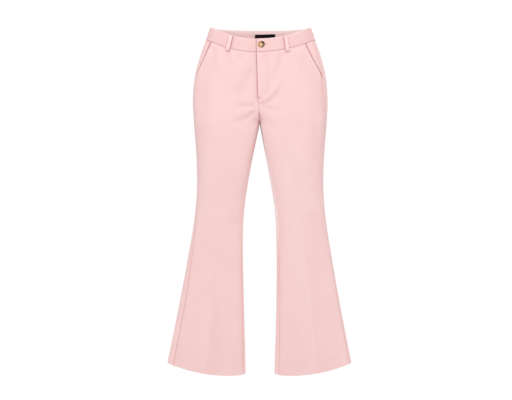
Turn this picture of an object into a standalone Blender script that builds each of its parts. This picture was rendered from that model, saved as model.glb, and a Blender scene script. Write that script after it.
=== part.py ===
"""Bootcut trousers, filled out and hollow: +Z up, front towards -Y, the wearer's left at +X.

The origin is the middle of the waist, level with the waistband's top at the sides.
Sizes below are in millimetres and angles in degrees; the meshes are in metres.
An angle runs round one half of the garment: 0 at its outer side, 90 at the front,
180 at the inside of the leg and -90 at the back.
"""

import math

import bmesh
import bpy
import numpy as np
from mathutils import Matrix, Vector

MM = 0.001

# The heights that the pieces share.
BAND_HEIGHT = 39
CROTCH = -284
FORK_RISE = 125  # the crotch seams bend inwards over this height
HEM = -1042
HEM_TURN = 33  # height of the cloth turned up inside the hem
FORK_TOP = CROTCH + FORK_RISE
FORK_EASE = 1.2  # over 1, the bend starts softly at the crotch
FORK_ROUND = 2.3  # over 1, it ends softly at the top
FORK_FULL = 1.8  # how much fuller the insides of the thighs are at the crotch
FORK_FULL_LOW = -560

# Cloth.
CLOTH = 1.8
HEM_CLOTH = 3.2
BAND_CLOTH = 3.0
POCKET_CLOTH = 1.4
SEAM_GAP = 0.3

# The waist's scoop at the centre front, and how far each corner of the hem lifts.
WAIST_DIP = 41.5
WAIST_SWEEP = {"left": 2.2, "right": 2.3}  # over 1, the edge stays high at the sides
HEM_OUTER_RISE = 37.5
HEM_INNER_RISE = 5
HEM_OUTER_SWEEP = 1.8  # over 1, the hem curves up late
HEM_INNER_SWEEP = 3
HEM_LOWEST_AT = -0.6  # across the leg, from -1 at the inside to 1 at the outside
HEM_CURVE_TOP = -800

# One level of the garment in each row: half widths from the middle, depths from the widest plane,
# and how full the section is, from 2 for an ellipse to more for one that is flatter at the front.
LEVEL_COLUMNS = ("height", "outer", "inner", "front", "back", "full")
LEVELS = (
    (0, 151.5, 0, 71, 72, 2.15),
    (-42, 165.5, 0, 72, 75.5, 2.25),
    (-79, 178.5, 0, 72.5, 79, 2.35),
    (-115, 189, 0, 73, 83, 2.45),
    (-151, 196.5, 0, 74, 86.5, 2.55),
    (-187, 200.5, 0, 75, 88.5, 2.6),
    (-223, 202, 0, 75.5, 88.5, 2.65),
    (-259, 200.7, 0, 75.5, 86, 2.7),
    (CROTCH, 199.3, 0, 75.5, 82.5, 2.7),
    (-331, 195.3, 8.3, 73.5, 77, 2.7),
    (-403, 190.5, 22.5, 68, 68, 2.7),
    (-475, 189.2, 35.4, 59, 57.5, 2.65),
    (-547, 193.7, 45.5, 50, 49, 2.6),
    (-601, 200.5, 49.1, 45, 45.5, 2.55),
    (-673, 212.7, 50.4, 39, 42, 2.5),
    (-745, 225.3, 50.1, 35, 38, 2.5),
    (-817, 238.7, 48.8, 32, 34, 2.45),
    (-889, 252.6, 47.3, 29.5, 31, 2.45),
    (-961, 267.2, 45, 27.5, 29, 2.4),
    (HEM, 283.6, 43, 26, 27, 2.4),
)

# Where each seam runs. The outseam and the inseam lie in front of the leg's widest points.
SEAM_COLUMNS = ("height", "outseam_left", "outseam_right", "inseam_left", "inseam_right")
SEAMS = (
    (0, 21, 2, 0, 0),
    (-160, 20, 5, 0, 0),
    (CROTCH, 22, 5, 0, 0),
    (-330, 19, 6, 4, 3),
    (-400, 12, 8, 12, 8),
    (-480, 11, 12, 18, 12),
    (-622, 15, 27, 24, 18),
    (-720, 18, 33, 26, 19),
    (HEM, 20, 33, 27, 20),
)

# The waist is turned a little on the hips, so the centre seams stand off the middle at the top.
# They slide across from it, front and back, and the insides of the legs go with them.
# The lean moves a whole level sideways.
CENTRE_COLUMNS = ("height", "front", "back", "lean")
CENTRES = (
    (0, -12, 17.5, 1.2),
    (-80, -11.4, 15.5, 0.6),
    (-129, -9.6, 12, 0.3),
    (-180, -7.6, 8, 0),
    (-240, -5.2, 2, 0),
    (-266, -2, -2, 0),
    (CROTCH, -2, -2, 0),
    (-300, -2, -2, 0),
    (-331, -2.6, -2.6, 0),
    (-475, -3, -3, -0.3),
    (-620, -1.6, -1.6, -0.8),
    (-745, 0.6, 0.6, -1.4),
    (-890, 2.4, 2.4, -2.2),
    (HEM, 2.4, 2.4, -2.7),
)

# The slanted pocket opening, as an angle for each height.
POCKET_COLUMNS = ("height", "left", "right")
POCKETS = (
    (-BAND_HEIGHT, 38, 31),
    (-70, 35.5, 28.5),
    (-100, 32, 25),
    (-130, 26, 19),
    (FORK_TOP, 20.3, 6),
)
POCKET_UNDERLAP = 15
POCKET_BELOW = 12  # the facing ends this far under the opening
POCKET_CLEAR = 1.3  # between the facing and the front over it
POCKET_LEAST_ANGLE = 1
# The facing meets the side seam level with the back, and sinks under the front below the opening.
POCKET_SINK_TOP = 124
POCKET_SINK_FULL = 156

# Pressed creases down the front and the back of each leg.
CREASE_ANGLE = {"left": 86, "right": 90}
CREASE_RISE = 3.4
CREASE_SPREAD = 20
CREASE_TOP = -330
CREASE_FULL = -430

# The largest folds: troughs from one point of the front or the back to another.
FOLD_COLUMNS = ("face", "x_from", "z_from", "x_to", "z_to", "width", "depth")
FOLDS = (
    ("front", -14, -257, -62, -277, 7, 2.8),
    ("front", -14, -277, -44, -318, 7, 2.4),
    ("front", 0, -236, 34, -227, 8, 2.0),
    ("front", 34, -227, 62, -188, 9, 1.8),
    ("front", 54, -84, 38, -178, 14, 1.8),
    ("front", -52, -120, -62, -196, 18, 1.3),
    ("back", 18, -296, 92, -318, 12, 3.4),
    ("back", -20, -300, -84, -326, 12, 3.0),
    ("back", 30, -332, 104, -346, 13, 2.2),
    ("back", -30, -340, -98, -352, 12, 2.0),
    ("back", 48, -566, 150, -578, 14, 1.6),
    ("back", -52, -578, -140, -566, 14, 1.4),
)

# The fly: the left front laps over a strip of the right one.
FLY_END = -214
FLY_UNDERLAP = 12
FLY_UNDERLAP_FADE = 36
FLY_SET = CLOTH + 0.7
FLY_SET_FADE = 34  # height over which the right front comes level again below the fly
LAP_SPREAD = 26
BAND_UNDERLAP = 22
BAND_SET = BAND_CLOTH + 0.5

ZIP_TOP = -48
ZIP_BOTTOM = -206
ZIP_WIDTH = 26
ZIP_CLOTH = 1.0
ZIP_BEHIND = FLY_SET + CLOTH + 0.5
SLIDER_SIZE = (8, 3.4, 11)
SLIDER_CLEAR = 0.5

BUTTON_FROM_LAP = 13
BUTTON_Z = -58
BUTTON_RADIUS = 10.3
BUTTON_HOLE_RADIUS = 0.9
BUTTON_HOLES_FROM_MIDDLE = 2.1
BUTTON_CLEAR = 0.5
BUTTON_SIDES = 32
BUTTON_HOLE_SIDES = 10
# The button's turned profile, radius and height: a dished middle inside a rounded rim.
BUTTON_PROFILE = (
    (0, 2.3),
    (5.6, 2.4),
    (7.2, 3.6),
    (8.6, 3.9),
    (9.8, 3.1),
    (BUTTON_RADIUS, 1.8),
    (9.5, 0.5),
    (8.2, 0),
    (0, 0),
)

LOOP_WIDTH = 12.5
LOOP_CLOTH = 2.0
LOOP_ANGLES = {
    "front_left": 61,
    "front_right": 119.5,
    "back_left": -52,
    "back_centre": -90,
    "back_right": -124,
}
# Height, lift off the cloth and thickness of a loop, from its top to its foot below the waist seam.
LOOP_PROFILE = (
    (-0.4, 0.3, 1.2),
    (-2.2, 1.4, LOOP_CLOTH),
    (-9, 2.8, LOOP_CLOTH),
    (-25, 3.4, LOOP_CLOTH),
    (-38, 3.2, LOOP_CLOTH),
    (-44.6, 2.2, LOOP_CLOTH),
    (-47.8, 0.3, 3.4),
    (-49.8, 0.3, 2.0),
)

LABEL_WIDTH = 63
LABEL_TOP = -11.5
LABEL_HEIGHT = 10.6
LABEL_CLOTH = 0.8

# How finely the cloth is divided.
PANEL_HALF = 7  # columns on each side of the crease
EDGE_CROWDING = 0.85  # under 1, columns lie closer towards a panel's edges
UPPER_ROWS = 9
FORK_ROWS = 11
FORK_CROWDING = 1.8  # over 1, rows lie closer towards the crotch
LEG_ROWS = 20
LEG_CROWDING = 1.5
BAND_ROWS = 4
BAND_STEP = 5.0  # degrees
POCKET_ROWS = 9
ZIP_ROWS = 9

PINK = (0.87, 0.60, 0.585)
PINK_INSIDE = (0.80, 0.54, 0.53)
BLACK = (0.006, 0.006, 0.008)
HORN = (0.52, 0.30, 0.10)
BRASS = (0.60, 0.47, 0.24)


def curve_of(columns, rows, name):
    """A smooth function of height through one column of a table that runs downwards."""
    heights = np.array([row[0] for row in rows], float)[::-1]
    values = np.array([row[columns.index(name)] for row in rows], float)[::-1]
    slopes = np.gradient(values, heights)

    def at(height):
        height = min(max(height, heights[0]), heights[-1])
        i = min(int(np.searchsorted(heights, height, side="right")) - 1, len(heights) - 2)
        span = heights[i + 1] - heights[i]
        t = (height - heights[i]) / span
        value = (1 + 2 * t) * (1 - t) ** 2 * values[i] + t * t * (3 - 2 * t) * values[i + 1]
        return value + span * t * (1 - t) * ((1 - t) * slopes[i] - t * slopes[i + 1])

    return at


OUTER, INNER, FRONT, BACK, FULL = [
    curve_of(LEVEL_COLUMNS, LEVELS, name) for name in LEVEL_COLUMNS[1:]
]
OUTSEAM = {side: curve_of(SEAM_COLUMNS, SEAMS, "outseam_" + side) for side in ("left", "right")}
INSEAM = {side: curve_of(SEAM_COLUMNS, SEAMS, "inseam_" + side) for side in ("left", "right")}
CENTRE = {face: curve_of(CENTRE_COLUMNS, CENTRES, face) for face in ("front", "back")}
LEAN = curve_of(CENTRE_COLUMNS, CENTRES, "lean")
POCKET_EDGE = {side: curve_of(POCKET_COLUMNS, POCKETS, side) for side in ("left", "right")}
SIGN = {"left": 1, "right": -1}
OTHER = {"left": "right", "right": "left"}


def ease(value, start, end):
    """0 at start, 1 at end, smooth between and level outside."""
    t = min(max((value - start) / (end - start), 0), 1)
    return t * t * (3 - 2 * t)


def section(height):
    """Centre, half width, front depth and back depth of the section round one half."""
    outer = OUTER(height)
    if height > CROTCH:
        up = min((height - CROTCH) / FORK_RISE, 1)
        # 1 where the legs part, 0 where the two halves are one ring.
        pull = (1 - up**FORK_EASE) ** FORK_ROUND
        half = outer / (1 + pull)
    else:
        half = (outer - INNER(height)) / 2
    return outer - half, half, FRONT(height), BACK(height)


def bare_skin(side, height, angle):
    """A point of the outside before creases and folds."""
    centre, half, front, back = section(height)
    turn = math.radians(angle)
    depth, face = (-front, "front") if math.sin(turn) > 0 else (back, "back")
    full = FULL(height)
    if math.cos(turn) < 0:
        full += FORK_FULL * min(ease(height, FORK_FULL_LOW, CROTCH), ease(height, FORK_TOP, CROTCH))
    bulge = max(1 - abs(math.cos(turn)) ** full, 0) ** (1 / full)
    across = centre + half * math.cos(turn)
    slide = CENTRE[face](height) * max(1 - abs(across) / OUTER(height), 0) + LEAN(height)
    return np.array((SIGN[side] * across + slide, depth * bulge, height))


def outward(side, height, angle):
    """The outside's unit normal."""
    round_it = bare_skin(side, height, angle + 0.5) - bare_skin(side, height, angle - 0.5)
    down_it = bare_skin(side, height + 1, angle) - bare_skin(side, height - 1, angle)
    normal = np.cross(round_it, down_it)
    middle = np.array((SIGN[side] * section(height)[0], 0, height))
    if normal @ (bare_skin(side, height, angle) - middle) < 0:
        normal = -normal
    return normal / np.linalg.norm(normal)


def tilted(side, height, angle):
    """The real height of a point on a row: rows dip at the waist's front and follow the hem."""
    turn = math.radians(angle)
    across = math.cos(turn)
    sweep = WAIST_SWEEP[side if across > 0 else OTHER[side]]
    dip = WAIST_DIP * max(math.sin(turn), 0) ** sweep * ease(height, FORK_TOP, -BAND_HEIGHT)
    if across > HEM_LOWEST_AT:
        share = (across - HEM_LOWEST_AT) / (1 - HEM_LOWEST_AT)
        rise = HEM_OUTER_RISE * share**HEM_OUTER_SWEEP
    else:
        share = (HEM_LOWEST_AT - across) / (1 + HEM_LOWEST_AT)
        rise = HEM_INNER_RISE * share**HEM_INNER_SWEEP
    return height - dip + rise * ease(height, HEM_CURVE_TOP, HEM)


def fold_depth(face, x, z):
    """How deep the folds press the cloth in at a point of the front or the back."""
    depth = 0
    for row in FOLDS:
        fold = dict(zip(FOLD_COLUMNS, row))
        if fold["face"] != face:
            continue
        start = np.array((fold["x_from"], fold["z_from"]))
        run = np.array((fold["x_to"], fold["z_to"])) - start
        reach = np.array((x, z)) - start
        along = min(max(reach @ run / (run @ run), 0), 1)
        away = np.linalg.norm(reach - along * run)
        depth += fold["depth"] * math.exp(-((away / fold["width"]) ** 2))
    return depth


def relief(side, height, angle):
    """How far creases and folds lift the cloth, or press it in."""
    x, _, z = bare_skin(side, height, angle)
    turn = math.radians(angle)
    face = "front" if math.sin(turn) > 0 else "back"
    half = section(height)[1]
    away = half * abs(math.cos(turn) - math.cos(math.radians(CREASE_ANGLE[side])))
    pressed = CREASE_RISE * math.exp(-away / CREASE_SPREAD) * ease(-height, -CREASE_TOP, -CREASE_FULL)
    return pressed - fold_depth(face, x, z)


def cloth_point(side, row, angle, out=0):
    """A point on a row of the garment, lifted off the outside by out."""
    height = tilted(side, row, angle)
    lift = relief(side, height, angle) + out
    return bare_skin(side, height, angle) + outward(side, height, angle) * lift


def nudge(side, row, angle, distance):
    """The angle this many millimetres further round."""
    height = tilted(side, row, angle)
    step = bare_skin(side, height, angle + 0.5) - bare_skin(side, height, angle - 0.5)
    return angle + distance / np.linalg.norm(step)


def angle_at(height, across, face):
    """The angle where a half is this far from the centre seam, towards its outer side."""
    centre, half, _, _ = section(height)
    turn = math.degrees(math.acos(min(max((across - centre) / half, -1), 1)))
    return turn if face == "front" else -turn


def seam_x(face, height):
    """Where the centre seam lies."""
    return CENTRE[face](height) + LEAN(height)


def underlap(side, height):
    """How far a front runs on past the centre, under the fly's lap."""
    if side == "left":
        return 0
    return FLY_UNDERLAP * ease(height, FLY_END, FLY_END + FLY_UNDERLAP_FADE)


def fly_set(x, height, depth):
    """How far the right side's cloth is pressed in where the left one laps over it."""
    past_lap = seam_x("front", height) - x
    by_height = ease(height, FLY_END - FLY_SET_FADE, FLY_END)
    return depth * by_height * (1 - ease(past_lap, 1, LAP_SPREAD))


def inner_angle(side, face, row):
    """Where a panel's inner edge lies: the centre seam above the crotch and the inseam below."""
    if row > CROTCH:
        height = tilted(side, row, 90 if face == "front" else -90)
        hidden = underlap(side, height) if face == "front" else 0
        return angle_at(height, -hidden, face)
    inseam = 180 - INSEAM[side](row)
    return inseam if face == "front" else inseam - 360


def outer_angle(side, face, row):
    """Where a panel's outer edge lies: the outseam, or the pocket opening on a front."""
    if face == "front" and row > FORK_TOP:
        return POCKET_EDGE[side](row)
    return OUTSEAM[side](row)


def crease_angle(side, face, row):
    """The angle of the column that follows the pressed crease, and the middle one higher up."""
    middle = (inner_angle(side, face, row) + outer_angle(side, face, row)) / 2
    crease = CREASE_ANGLE[side] if face == "front" else -CREASE_ANGLE[side]
    share = ease(-row, -FORK_TOP, -CREASE_FULL)
    return middle + (crease - middle) * share


def material(name, colour, roughness, metallic=0.0):
    made = bpy.data.materials.new(name)
    made.use_nodes = True
    shader = made.node_tree.nodes["Principled BSDF"]
    shader.inputs["Base Color"].default_value = (*colour, 1)
    shader.inputs["Roughness"].default_value = roughness
    shader.inputs["Metallic"].default_value = metallic
    made.diffuse_color = (*colour, 1)
    return made


def add_object(name, mesh, finish):
    """An object with one material, shaded smooth but for its edges."""
    mesh.materials.append(finish)
    mesh.shade_smooth()
    mesh.set_sharp_from_angle(angle=math.radians(40))
    made = bpy.data.objects.new(name, mesh)
    bpy.context.collection.objects.link(made)
    return made


def wall(name, outside, inside, finish):
    """A closed wall between two grids of points in millimetres, each of rows by columns."""
    rows = len(outside)
    columns = len(outside[0])
    shape = bmesh.new()
    sheets = []
    for grid in (outside, inside):
        sheets.append([[shape.verts.new(Vector(p) * MM) for p in row] for row in grid])
    for sheet in sheets:
        for r in range(rows - 1):
            for c in range(columns - 1):
                shape.faces.new((sheet[r][c], sheet[r][c + 1], sheet[r + 1][c + 1], sheet[r + 1][c]))
    rim = [(0, c) for c in range(columns)]
    rim += [(r, columns - 1) for r in range(1, rows)]
    rim += [(rows - 1, c) for c in range(columns - 2, -1, -1)]
    rim += [(r, 0) for r in range(rows - 2, 0, -1)]
    rim_points = [(sheets[0][r][c], sheets[1][r][c]) for r, c in rim]
    for here, beyond in zip(rim_points, rim_points[1:] + rim_points[:1]):
        shape.faces.new((*here, beyond[1], beyond[0]))
    bmesh.ops.recalc_face_normals(shape, faces=shape.faces)
    mesh = bpy.data.meshes.new(name)
    shape.to_mesh(mesh)
    shape.free()
    return add_object(name, mesh, finish)


def panel_rows():
    """The rows of a panel: even above the fork, close at the crotch, wider towards the hem."""
    rows = list(np.linspace(-BAND_HEIGHT - SEAM_GAP / 2, FORK_TOP, UPPER_ROWS))
    rows += [CROTCH + FORK_RISE * (1 - k / FORK_ROWS) ** FORK_CROWDING for k in range(1, FORK_ROWS + 1)]
    hem_top = HEM + HEM_TURN
    rows += [CROTCH + (hem_top - CROTCH) * (k / LEG_ROWS) ** LEG_CROWDING for k in range(1, LEG_ROWS + 1)]
    return rows + [hem_top - 1, HEM]


def panel(side, face, finish):
    """A front or a back from the waist seam to the hem."""
    outside = []
    inside = []
    for row in panel_rows():
        gap = SEAM_GAP / 2 if face == "front" else -SEAM_GAP / 2
        start = nudge(side, row, inner_angle(side, face, row), -gap)
        end = nudge(side, row, outer_angle(side, face, row), gap)
        crease = crease_angle(side, face, row)
        shares = [(k / PANEL_HALF) ** EDGE_CROWDING for k in range(PANEL_HALF + 1)]
        angles = [crease + (start - crease) * share for share in reversed(shares)]
        angles += [crease + (end - crease) * share for share in shares[1:]]
        thickness = HEM_CLOTH if row < HEM + HEM_TURN else CLOTH
        for grid, depth in ((outside, 0), (inside, thickness)):
            points = []
            for angle in angles:
                height = tilted(side, row, angle)
                x = bare_skin(side, height, angle)[0]
                press = fly_set(x, height, FLY_SET) if (side, face) == ("right", "front") else 0
                point = cloth_point(side, row, angle, -depth - press)
                seam = seam_x(face, point[2])
                hidden = underlap(side, point[2]) if face == "front" else 0
                across = max(SIGN[side] * (point[0] - seam), SEAM_GAP / 2 - hidden)
                point[0] = seam + SIGN[side] * across
                points.append(point)
            grid.append(points)
    return wall(f"{face}_{side}", outside, inside, finish)


def pocket_facing(side, finish):
    """The cloth that shows inside a slanted pocket, running on under the front."""
    outside = []
    inside = []
    deep = CLOTH + POCKET_CLEAR
    rows = np.linspace(-BAND_HEIGHT - SEAM_GAP / 2, FORK_TOP - POCKET_BELOW, POCKET_ROWS)
    for row in rows:
        seam = nudge(side, row, OUTSEAM[side](row), SEAM_GAP / 2)
        opening = max(POCKET_EDGE[side](row), seam + POCKET_LEAST_ANGLE)
        end = nudge(side, row, opening, POCKET_UNDERLAP)
        sunk = ease(-row, POCKET_SINK_TOP, POCKET_SINK_FULL)
        angles = list(np.linspace(seam, opening, 4)) + list(np.linspace(opening, end, 3))[1:]
        for grid, depth in ((outside, 0), (inside, POCKET_CLOTH)):
            points = []
            for angle in angles:
                to_edge = min((angle - seam) / (opening - seam), 1)
                press = deep * max(sunk, to_edge)
                points.append(cloth_point(side, row, angle, -depth - press))
            grid.append(points)
    return wall(f"pocket_{side}", outside, inside, finish)


def band_piece(name, start, end, finish, laps_under=False):
    """A length of waistband between two angles of the ring, which is one section up here."""
    steps = max(2, round(abs(end - start) / BAND_STEP))
    rows = np.linspace(0, -BAND_HEIGHT + SEAM_GAP / 2, BAND_ROWS)
    outside = []
    inside = []
    for row in rows:
        for grid, depth in ((outside, 0), (inside, BAND_CLOTH)):
            points = []
            for angle in np.linspace(start, end, steps + 1):
                height = tilted("left", row, angle)
                x = bare_skin("left", height, angle)[0]
                press = fly_set(x, height, BAND_SET) if laps_under else 0
                points.append(cloth_point("left", row, angle, -depth - press))
            grid.append(points)
    return wall(name, outside, inside, finish)


def waistband(finish):
    """The waistband's left and right fronts and its back."""
    middle = -BAND_HEIGHT / 2
    lap = 90
    seam_left = OUTSEAM["left"](middle)
    seam_right = 180 - OUTSEAM["right"](middle)
    gap = SEAM_GAP / 2
    band_piece("waistband_left", nudge("left", middle, seam_left, gap), lap, finish)
    under = nudge("left", middle, lap, -BAND_UNDERLAP)
    right_end = nudge("left", middle, seam_right, -gap)
    band_piece("waistband_right", under, right_end, finish, laps_under=True)
    back_start = nudge("left", middle, seam_left, -gap)
    back_end = nudge("left", middle, seam_right, gap) - 360
    band_piece("waistband_back", back_start, back_end, finish)


def strip(name, side, angle, profile, width, finish, across=3):
    """A strip down the garment, from rows of height, lift off the cloth and thickness."""
    outside = []
    inside = []
    for row, lift, thickness in profile:
        edge = nudge(side, row, angle, width / 2) - angle
        angles = np.linspace(angle - edge, angle + edge, across)
        outside.append([cloth_point(side, row, a, lift + thickness) for a in angles])
        inside.append([cloth_point(side, row, a, lift) for a in angles])
    return wall(name, outside, inside, finish)


def zip_fastener(tape, metal):
    """The tape behind the fly's lap and the slider at its top."""
    outside = []
    inside = []
    for row in np.linspace(ZIP_TOP, ZIP_BOTTOM, ZIP_ROWS):
        height = tilted("right", row, 90)
        angles = [angle_at(height, ZIP_WIDTH / 2 * share, "front") for share in (1, 0.5, 0, -0.5, -1)]
        outside.append([cloth_point("right", row, a, -ZIP_BEHIND) for a in angles])
        inside.append([cloth_point("right", row, a, -ZIP_BEHIND - ZIP_CLOTH) for a in angles])
    wall("zip_tape", outside, inside, tape)

    row = ZIP_TOP - SLIDER_SIZE[2]
    normal = outward("left", tilted("left", row, 90), 90)
    depth = ZIP_BEHIND + ZIP_CLOTH + SLIDER_CLEAR + SLIDER_SIZE[1] / 2
    place = cloth_point("left", row, 90, -depth)
    shape = bmesh.new()
    bmesh.ops.create_cube(shape, size=1)
    bmesh.ops.scale(shape, vec=Vector(SLIDER_SIZE) * MM, verts=shape.verts)
    bmesh.ops.bevel(shape, geom=shape.edges, offset=0.9 * MM, segments=2, affect="EDGES")
    mesh = bpy.data.meshes.new("zip_slider")
    shape.to_mesh(mesh)
    shape.free()
    slider = add_object("zip_slider", mesh, metal)
    slider.rotation_euler = Vector(normal).to_track_quat("-Y", "Z").to_euler()
    slider.location = Vector(place) * MM


def button(finish):
    """A turned button with four holes, lying on the waistband's lap."""
    shape = bmesh.new()
    profile = [shape.verts.new((radius * MM, 0, height * MM)) for radius, height in BUTTON_PROFILE]
    edges = [shape.edges.new(pair) for pair in zip(profile, profile[1:])]
    turn = {"cent": (0, 0, 0), "axis": (0, 0, 1), "angle": math.tau, "steps": BUTTON_SIDES}
    bmesh.ops.spin(shape, geom=profile + edges, use_duplicate=False, **turn)
    bmesh.ops.remove_doubles(shape, verts=shape.verts, dist=0.00001)
    bmesh.ops.recalc_face_normals(shape, faces=shape.faces)
    mesh = bpy.data.meshes.new("button")
    shape.to_mesh(mesh)
    shape.free()
    made = add_object("button", mesh, finish)

    shape = bmesh.new()
    thickest = max(height for _, height in BUTTON_PROFILE)
    for quarter in range(4):
        turn = math.radians(45 + 90 * quarter)
        middle = Vector((math.cos(turn), math.sin(turn), 0)) * BUTTON_HOLES_FROM_MIDDLE
        place = Matrix.Translation((middle + Vector((0, 0, thickest / 2))) * MM)
        size = {"radius1": BUTTON_HOLE_RADIUS * MM, "radius2": BUTTON_HOLE_RADIUS * MM}
        bmesh.ops.create_cone(
            shape, cap_ends=True, segments=BUTTON_HOLE_SIDES, depth=2 * thickest * MM, matrix=place, **size
        )
    holes_mesh = bpy.data.meshes.new("button_holes")
    shape.to_mesh(holes_mesh)
    shape.free()
    holes = bpy.data.objects.new("button_holes", holes_mesh)
    bpy.context.collection.objects.link(holes)
    holes.hide_render = True
    holes.display_type = "WIRE"
    holes.parent = made
    drill = made.modifiers.new("holes", "BOOLEAN")
    drill.operation = "DIFFERENCE"
    drill.object = holes

    angle = angle_at(BUTTON_Z, BUTTON_FROM_LAP, "front")
    normal = outward("left", BUTTON_Z, angle)
    place = bare_skin("left", BUTTON_Z, angle) + normal * BUTTON_CLEAR
    made.rotation_euler = Vector(normal).to_track_quat("Z", "Y").to_euler()
    made.location = Vector(place) * MM


def label(finish):
    """A bare tab inside the waistband's back."""
    height = LABEL_TOP - LABEL_HEIGHT / 2
    middle = angle_at(height, 0, "back")
    lift = -BAND_CLOTH - SEAM_GAP - LABEL_CLOTH
    rows = np.linspace(LABEL_TOP, LABEL_TOP - LABEL_HEIGHT, 3)
    profile = [(row, lift, LABEL_CLOTH) for row in rows]
    strip("label", "left", middle, profile, LABEL_WIDTH, finish, across=7)


def main():
    for leftover in list(bpy.data.objects):
        bpy.data.objects.remove(leftover)

    cloth = material("cloth", PINK, 0.82)
    inner_cloth = material("inner_cloth", PINK_INSIDE, 0.85)
    horn = material("horn", HORN, 0.28)
    brass = material("brass", BRASS, 0.35, 1.0)
    tab = material("tab", BLACK, 0.7)

    for side in ("left", "right"):
        panel(side, "front", cloth)
        panel(side, "back", cloth)
        pocket_facing(side, cloth)
    waistband(cloth)
    for place, angle in LOOP_ANGLES.items():
        strip(f"loop_{place}", "left", angle, LOOP_PROFILE, LOOP_WIDTH, cloth)
    zip_fastener(inner_cloth, brass)
    button(horn)
    label(tab)


main()
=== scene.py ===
import math

import bpy
import numpy as np
from mathutils import Matrix, Vector


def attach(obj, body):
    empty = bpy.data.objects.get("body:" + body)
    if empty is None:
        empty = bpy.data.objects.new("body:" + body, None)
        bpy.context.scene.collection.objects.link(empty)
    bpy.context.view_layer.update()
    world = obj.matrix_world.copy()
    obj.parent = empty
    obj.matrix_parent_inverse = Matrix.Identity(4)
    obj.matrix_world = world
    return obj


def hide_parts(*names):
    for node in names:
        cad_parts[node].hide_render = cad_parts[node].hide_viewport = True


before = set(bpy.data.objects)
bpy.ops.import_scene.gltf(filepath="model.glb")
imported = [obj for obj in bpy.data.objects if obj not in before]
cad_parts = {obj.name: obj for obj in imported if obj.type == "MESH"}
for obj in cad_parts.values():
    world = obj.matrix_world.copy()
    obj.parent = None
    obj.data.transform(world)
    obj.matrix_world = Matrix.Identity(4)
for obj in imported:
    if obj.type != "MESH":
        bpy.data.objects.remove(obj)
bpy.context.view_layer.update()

# Sizes are in millimetres and degrees until a mesh is made; left is the wearer's left, at +X.
# An angle runs round one half: 0 at its outer side, 90 at the front, 180 inside the leg and
# -90 at the back.
mm = 0.001
sign = {"left": 1, "right": -1}
other = {"left": "right", "right": "left"}

garment = {
    "bandHeight": 39, "crotch": -284, "forkRise": 125, "forkEase": 1.2, "forkRound": 2.3,
    "forkFull": 1.8, "forkFullLow": -560, "hem": -1042, "hemCurveTop": -800,
    "hemOuterRise": 37.5, "hemInnerRise": 5, "hemOuterSweep": 1.8, "hemInnerSweep": 3,
    "hemLowestAt": -0.6, "waistDip": 41.5, "waistSweep": {"left": 2.2, "right": 2.3},
    # height, outer and inner half widths, front and back depths, fullness (2 is an ellipse)
    "levels": (
        (0, 151.5, 0, 71, 72, 2.15), (-42, 165.5, 0, 72, 75.5, 2.25),
        (-79, 178.5, 0, 72.5, 79, 2.35), (-115, 189, 0, 73, 83, 2.45),
        (-151, 196.5, 0, 74, 86.5, 2.55), (-187, 200.5, 0, 75, 88.5, 2.6),
        (-223, 202, 0, 75.5, 88.5, 2.65), (-259, 200.7, 0, 75.5, 86, 2.7),
        (-284, 199.3, 0, 75.5, 82.5, 2.7), (-331, 195.3, 8.3, 73.5, 77, 2.7),
        (-403, 190.5, 22.5, 68, 68, 2.7), (-475, 189.2, 35.4, 59, 57.5, 2.65),
        (-547, 193.7, 45.5, 50, 49, 2.6), (-601, 200.5, 49.1, 45, 45.5, 2.55),
        (-673, 212.7, 50.4, 39, 42, 2.5), (-745, 225.3, 50.1, 35, 38, 2.5),
        (-817, 238.7, 48.8, 32, 34, 2.45), (-889, 252.6, 47.3, 29.5, 31, 2.45),
        (-961, 267.2, 45, 27.5, 29, 2.4), (-1042, 283.6, 43, 26, 27, 2.4),
    ),
    # height, outseam left and right, inseam left and right, as angles
    "seams": (
        (0, 21, 2, 0, 0), (-160, 20, 5, 0, 0), (-284, 22, 5, 0, 0), (-330, 19, 6, 4, 3),
        (-400, 12, 8, 12, 8), (-480, 11, 12, 18, 12), (-622, 15, 27, 24, 18),
        (-720, 18, 33, 26, 19), (-1042, 20, 33, 27, 20),
    ),
    # height, centre seam at the front and at the back, sideways lean
    "centres": (
        (0, -12, 17.5, 1.2), (-80, -11.4, 15.5, 0.6), (-129, -9.6, 12, 0.3), (-180, -7.6, 8, 0),
        (-240, -5.2, 2, 0), (-266, -2, -2, 0), (-284, -2, -2, 0), (-300, -2, -2, 0),
        (-331, -2.6, -2.6, 0), (-475, -3, -3, -0.3), (-620, -1.6, -1.6, -0.8),
        (-745, 0.6, 0.6, -1.4), (-890, 2.4, 2.4, -2.2), (-1042, 2.4, 2.4, -2.7),
    ),
    # height, slanted pocket opening left and right, as angles
    "pockets": ((-39, 38, 31), (-70, 35.5, 28.5), (-100, 32, 25), (-130, 26, 19), (-159, 20.3, 6)),
}

crease = {
    "angle": {"left": 86, "right": 90}, "rise": 3.4, "spread": 20, "top": -330, "full": -430,
    # line is a painted highlight along the crease
    "edgeRise": 0.6, "edgeSpread": 3.5, "line": (-0.05, 0, 1.4),
    # a step of painted shade on its side towards the wearer's left and painted light on the other,
    # more so down the leg
    "step": 0.04, "stepEdge": 1.5, "stepSpread": 24, "stepAtTop": 0.45, "stepGrows": (-480, -760),
}

fly = {
    "end": -214, "underlap": 12, "press": 3.6, "pressFades": (1, 26), "bandUnderlap": 22,
    "bandPress": 3.5, "lapRise": 1.0, "lapRiseSpread": 5, "stitchLift": -0.25,
    # the heights above its end over which each of these comes in
    "underlapFrom": (0, 36), "pressFrom": (-34, 0), "facingFrom": (-20, 0),
    "lapRiseFrom": (-30, 20),
    # the J of topstitching, which also carries a line of painted shade, and the line of painted
    # shade where the facing's edge shows, as x and height
    "stitched": ((20.6, -86), (22.6, -120), (23.6, -155), (23.6, -190), (19, -204),
                 (14.7, -208.6), (5, -214.5), (-5.5, -217.1)),
    "facingEdgeShade": ((4.2, -88), (4.6, -150), (5.2, -206)),
}
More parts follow.
